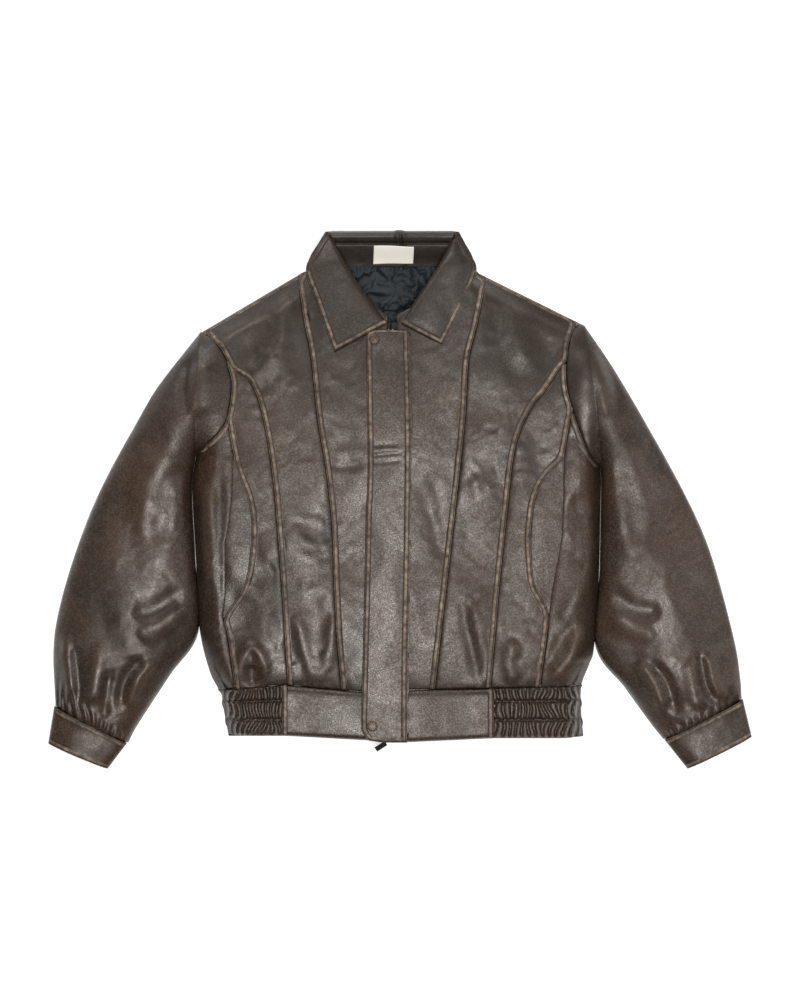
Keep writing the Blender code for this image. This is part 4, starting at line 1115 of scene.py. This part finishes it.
z = z - 0.0018 * np.exp(-from_free / 0.0007) - 0.0012 * np.exp(-np.abs(y + 0.335) / 0.0010)
z = z - 0.0018 * np.exp(-from_top / 0.0010)
set_points(flap, x, y - 0.0030 * ease((x + 0.05) / 0.03) * (1.0 - ease((y + 0.335) / 0.03)), z)
from_bottom = np.abs(y - FLAP_FREE[-1][1])
low_band = np.where(from_bottom < TAN_BAND + 0.002, from_bottom, 1.0)
band = np.minimum(np.minimum(from_free, from_sewn), low_band)
note(flap, "band", np.minimum(band, np.where(from_top < 0.0026, 0.0030, 1.0)))
# Fold ridges on the flap are lightened: rub-off wear and painted highlight.
note(flap, "rub", np.clip(folds(FLAP_FOLDS, x, y) / 0.0010, 0.0, 1.0) * 0.6)
back_with(flap, 0.0016, centre_leather)
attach(flap, "flap")
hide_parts("flap_outer")
for node, name, body in (("flap_lining", "flap_back", "flap"), ("flap_root", "flap_seam", "front_left")):
    backing = refined(own_copy(node, name, plain_leather), 0.008)
    backing.data.shade_smooth()
    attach(backing, body)


# Snaps: domed caps covered in the same leather, over a nickelled socket and a stud riveted through
# the front.
def metal_finish(name, colour, gloss, marks=0.25):
    """Plated metal with faint brushing and rubbed patches."""
    finish, shader, place = new_finish(name)
    cloud = noise(place, 180.0, 4.0, 0.6)
    scratch = noise(place, 1400.0, 2.0, 0.5)
    base = place.node("ShaderNodeRGB")
    base.socket.default_value = (*colour, 1.0)
    tint = base.blend(tuple(c * 0.45 for c in colour), cloud.over(0.4, 0.7) * marks)
    bump = place.node("ShaderNodeBump", {}, {"Strength": 0.2, "Distance": 0.0002, "Height": scratch})
    feed(shader, Base_Color=tint, Roughness=gloss + 0.18 * cloud, Normal=bump)
    shader.inputs["Metallic"].default_value = 1.0
    return finish


nickel = metal_finish("nickel", (0.55, 0.54, 0.52), 0.24)
dark_nickel = metal_finish("dark_nickel", (0.014, 0.0135, 0.013), 0.50)
cap_leather = worn_leather("cap_leather", deep=(0.085, 0.058, 0.040), warm=(0.110, 0.070, 0.045),
                           dusty=(0.150, 0.120, 0.095))
SNAP_AT = {"upper": (-0.0360, 0.2240), "lower": (-0.0385, -0.3150)}
for level, (snap_x, snap_y) in SNAP_AT.items():
    bpy.ops.object.select_all(action="DESELECT")
    bpy.ops.mesh.primitive_cylinder_add(vertices=48, radius=0.0075, depth=0.0026, location=(0.0, 0.0, 0.0))
    cap = bpy.context.object
    cap.name = "cap_" + level
    bpy.ops.object.mode_set(mode="EDIT")
    bpy.ops.mesh.select_all(action="DESELECT")
    bpy.ops.object.mode_set(mode="OBJECT")
    for face in cap.data.polygons:
        face.select = face.normal.z > 0.9
    bpy.ops.object.mode_set(mode="EDIT")
    for inset, lift in ((0.0009, 0.0006), (0.0012, 0.0004), (0.0020, 0.0003), (0.0020, 0.0001)):
        bpy.ops.mesh.inset(thickness=inset)
        bpy.ops.transform.translate(value=(0.0, 0.0, lift))
    bpy.ops.object.mode_set(mode="OBJECT")
    spots = points_of(cap)
    set_points(cap, spots[:, 0] + snap_x, spots[:, 1] + snap_y, spots[:, 2] + FLAP_TOP + 0.0016)
    unlapped(cap, np.clip((np.hypot(spots[:, 0], spots[:, 1]) - 0.0052) / 0.0014, 0.0, 1.0))
    cap.data.shade_smooth()
    cap.data.materials.append(cap_leather)
    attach(cap, "flap")
    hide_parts("snap_cap_" + level)
    dress("snap_socket_" + level, nickel)
    dress("snap_stud_" + level, nickel)


# Zip: moulded metal teeth on woven tape, one half sewn behind each front edge, with stops at the top,
# a pin and box at the bottom, and a slider with a dark pull.
tape_cloth = cloth_finish("tape_cloth", (0.010, 0.009, 0.008), (0.022, 0.019, 0.017), scale=1400.0)
TOOTH_PITCH = 0.0025
TOOTH_ALONG, TOOTH_ACROSS, TOOTH_HIGH = 0.0013, 0.0026, 0.0032
TOOTH_MIDDLE = 0.0353
TOOTH_OFFSET = 0.0032     # from the zip's centre line to the middle of a row
ROW_START, ROW_SHORT = 0.014, 0.034
zip_top, zip_low = (np.array(p) for p in ZIP_LINE)
zip_run = (zip_top - zip_low) / np.linalg.norm(zip_top - zip_low)
zip_length = float(np.linalg.norm(zip_top - zip_low))
for side, sign in SIDES:
    bpy.ops.object.select_all(action="DESELECT")
    bpy.ops.mesh.primitive_cube_add(size=1.0)
    teeth = bpy.context.object
    teeth.name = "teeth_" + side
    teeth.scale = (TOOTH_ACROSS, TOOTH_ALONG, TOOTH_HIGH)
    bpy.ops.object.transform_apply(location=False, rotation=False, scale=True)
    soften = teeth.modifiers.new("edges", "BEVEL")
    soften.width = 0.0003
    soften.segments = 1
    bpy.ops.object.modifier_apply(modifier=soften.name)
    shape = bmesh.new()
    count = int((zip_length - ROW_SHORT) / TOOTH_PITCH)
    offset = 0.5 if side == "left" else 0.0
    across_dir = np.array((zip_run[1], -zip_run[0]))
    for i in range(count):
        distance = ROW_START + (i + offset) * TOOTH_PITCH
        at = zip_low + zip_run * distance + across_dir * sign * TOOTH_OFFSET
        before = len(shape.verts)
        shape.from_mesh(teeth.data)
        shape.verts.ensure_lookup_table()
        bmesh.ops.translate(shape, verts=shape.verts[before:], vec=(at[0], at[1], TOOTH_MIDDLE))
    shape.to_mesh(teeth.data)
    shape.free()
    teeth.data.materials.clear()
    teeth.data.materials.append(nickel)
    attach(teeth, "front_" + side)
    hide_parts("zip_teeth_" + side)
    dress("zip_tape_" + side, tape_cloth)
    tape_end, across, along = grid_sheet("tape_end_" + side, 12, 12)
    y = 0.2380 + 0.0100 * along
    x = zip_x(y) + sign * (0.0012 + 0.0090 * across)
    set_points(tape_end, x, y, 0.0346 - 0.0030 * ease((y - 0.248) / 0.006) * (1.0 - across))
    back_with(tape_end, 0.0006, tape_cloth)
    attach(tape_end, "front_" + side)
    dress("top_stop_" + side, nickel)
    facing = refined(own_copy("facing_" + side, "front_facing_" + side, plain_leather), 0.010)
    facing.data.shade_smooth()
    turning_front(facing)
dress("insertion_pin", nickel)
dress("retainer_box", nickel)
dress("zip_slider", nickel)
dress("pull_tab", dark_nickel)


# Lining: thin slate satin, loose inside the body and crumpled where it shows in the neck, and
# narrower tubes of it inside the sleeves.
satin = cloth_finish("satin", (0.0060, 0.0090, 0.0108), (0.0150, 0.0205, 0.0235), scale=2400.0, sheen=0.05,
                     gloss=0.44)


def closer(share, low, high, weight):
    """Shares of a length with most of the points between two levels."""
    grid_points = np.linspace(0.0, 1.0, 400)
    density = 1.0 + weight * ((grid_points > low) & (grid_points < high))
    total = np.concatenate([[0.0], np.cumsum((density[1:] + density[:-1]) / 2.0)])
    return np.interp(share, total / total[-1], grid_points)


lining, across, along = grid_sheet("body_lining", 190, 150)
y = -0.252 + (0.3290 + 0.252) * closer(along, 0.82, 1.0, 9.0)
left_edge = outline_of("left")(np.minimum(y, 0.30)) - 0.010
right_edge = outline_of("right")(np.minimum(y, 0.30)) + 0.010
low_y = y < 0.240
left_edge = np.where(low_y, left_edge, np.interp(y, (0.240, 0.318, 0.330), (0.236, 0.088, 0.066)))
right_edge = np.where(low_y, right_edge, np.interp(y, (0.240, 0.318, 0.330), (-0.262, -0.108, -0.080)))
x = right_edge + (left_edge - right_edge) * closer(across, 0.28, 0.72, 3.0)
z = 0.0030 + 0.0003 * drift(x, y, 0.03, 97)
set_points(lining, x, y, np.maximum(z, 0.0026))
back_with(lining, 0.0006, satin)
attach(lining, "root")
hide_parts("lining_back")

NECK_FRAMES = 26
NECK_LEVEL = 0.0110
NECK_CRUMPLE = 0.0060     # how far the crumpled cloth may rise or sink
NECK_SLACK = -0.17        # the cloth grows by this share, so it crumples inside its sewn edge
neck_lining, across, along = grid_sheet("neck_lining", 104, 64)
y = 0.2300 + (0.3292 - 0.2300) * along
right_x = x_at(ROLL_LINE["right"], np.maximum(y, 0.247)) - 0.016
left_x = x_at(ROLL_LINE["left"], np.maximum(y, 0.247)) + 0.016
x = right_x + (left_x - right_x) * across
z = NECK_LEVEL + 0.0016 * drift(x + 0.4 * y, y, 0.018, 91) + 0.0010 * drift(x, y, 0.009, 93)
set_points(neck_lining, x, y, z)
sewn = neck_lining.vertex_groups.new(name="sewn")
edge = np.minimum(np.minimum(across, 1.0 - across), np.minimum(along, 1.0 - along)) < 0.002
sewn.add([int(i) for i in np.nonzero(edge)[0]], 1.0, "REPLACE")
cloth = neck_lining.modifiers.new("cloth", "CLOTH")
cloth.settings.vertex_group_mass = "sewn"
cloth.settings.quality = 8
cloth.settings.mass = 0.10
cloth.settings.tension_stiffness = 20.0
cloth.settings.compression_stiffness = 20.0
cloth.settings.shear_stiffness = 4.0
cloth.settings.bending_stiffness = 0.02
cloth.settings.shrink_min = NECK_SLACK
cloth.settings.effector_weights.gravity = 0.0
cloth.collision_settings.use_collision = False
cloth.point_cache.frame_start = 1
cloth.point_cache.frame_end = NECK_FRAMES
for frame_number in range(1, NECK_FRAMES + 1):
    bpy.context.scene.frame_set(frame_number)
bpy.context.view_layer.objects.active = neck_lining
bpy.ops.object.modifier_apply(modifier=cloth.name)
bpy.context.scene.frame_set(1)
neck_lining.vertex_groups.clear()
spots = points_of(neck_lining)
lift = np.tanh((spots[:, 2] - NECK_LEVEL) / NECK_CRUMPLE) * NECK_CRUMPLE
set_points(neck_lining, spots[:, 0], spots[:, 1], NECK_LEVEL + 0.0002 + lift)
finer = neck_lining.modifiers.new("finer", "SUBSURF")
finer.levels = 1
finer.render_levels = 1
bpy.context.view_layer.objects.active = neck_lining
bpy.ops.object.modifier_apply(modifier=finer.name)
back_with(neck_lining, 0.0005, satin)
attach(neck_lining, "root")
for side, sign in SIDES:
    for node, name in (("lining_front_", "front_lining_"), ("sleeve_lining_", "arm_lining_")):
        inner = refined(own_copy(node + side, name + side, satin), 0.012)
        inner.data.shade_smooth()
        if node.startswith("sleeve"):
            turning_sleeve(inner)
        else:
            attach(inner, "root")


# Back: the same leather, cut with a yoke and two long seams, lying on the floor with its band of
# elastic below.
YOKE = ((-0.262, 0.150), (-0.130, 0.138), (0.000, 0.134), (0.125, 0.138), (0.250, 0.150))
BACK_SEAMS = (((-0.150, 0.137), (-0.138, 0.000), (-0.120, -0.262)),
              ((0.138, 0.137), (0.128, 0.000), (0.112, -0.262)))


def back_edge(side, y):
    (top_x, top_y), (low_x, low_y) = CHORD[side]
    on_chord = top_x + (low_x - top_x) * (y - top_y) / (low_y - top_y)
    return np.where((y > low_y) & (y < top_y), on_chord, outline_of(side)(y))


for name, low, high, node in (("back", HEM_SEAM, 0.3225, "back_panel"),
                              ("back_band", -0.3330, HEM_SEAM - 0.0008, "waistband_back")):
    sheet, across, along = grid_sheet(name, 150, int((high - low) / 0.0035))
    y = low + (high - low) * along
    right_x, left_x = back_edge("right", y), back_edge("left", y)
    x = right_x + (left_x - right_x) * across
    yoke_gap, _ = distance_to(YOKE, x, y)
    seam_gap = np.full(x.shape, 1.0)
    for line in BACK_SEAMS:
        gap, _ = distance_to(line, x, y)
        seam_gap = np.minimum(seam_gap, gap)
    gap = np.minimum(np.where(y < 0.1375, seam_gap, 1.0), yoke_gap)
    gap = gap if name == "back" else np.minimum(y - low, high - y)
    dent = 0.0007 * np.exp(-gap / 0.0014) + 0.0003 + 0.0003 * drift(x, y, 0.04, 99)
    if name == "back_band":
        dent = dent + 0.0005 * (0.5 + 0.5 * np.cos(x / 0.0098 * 2.0 * math.pi + 2.0 * drift(x, y, 0.02, 7)))
    set_points(sheet, x, y, np.clip(dent, 0.0, 0.0016))
    note(sheet, "band", gap)
    note(sheet, "rub", np.zeros(x.shape))
    back_with(sheet, 0.0014, body_leather, outward=False)
    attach(sheet, "root")
    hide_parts(node)
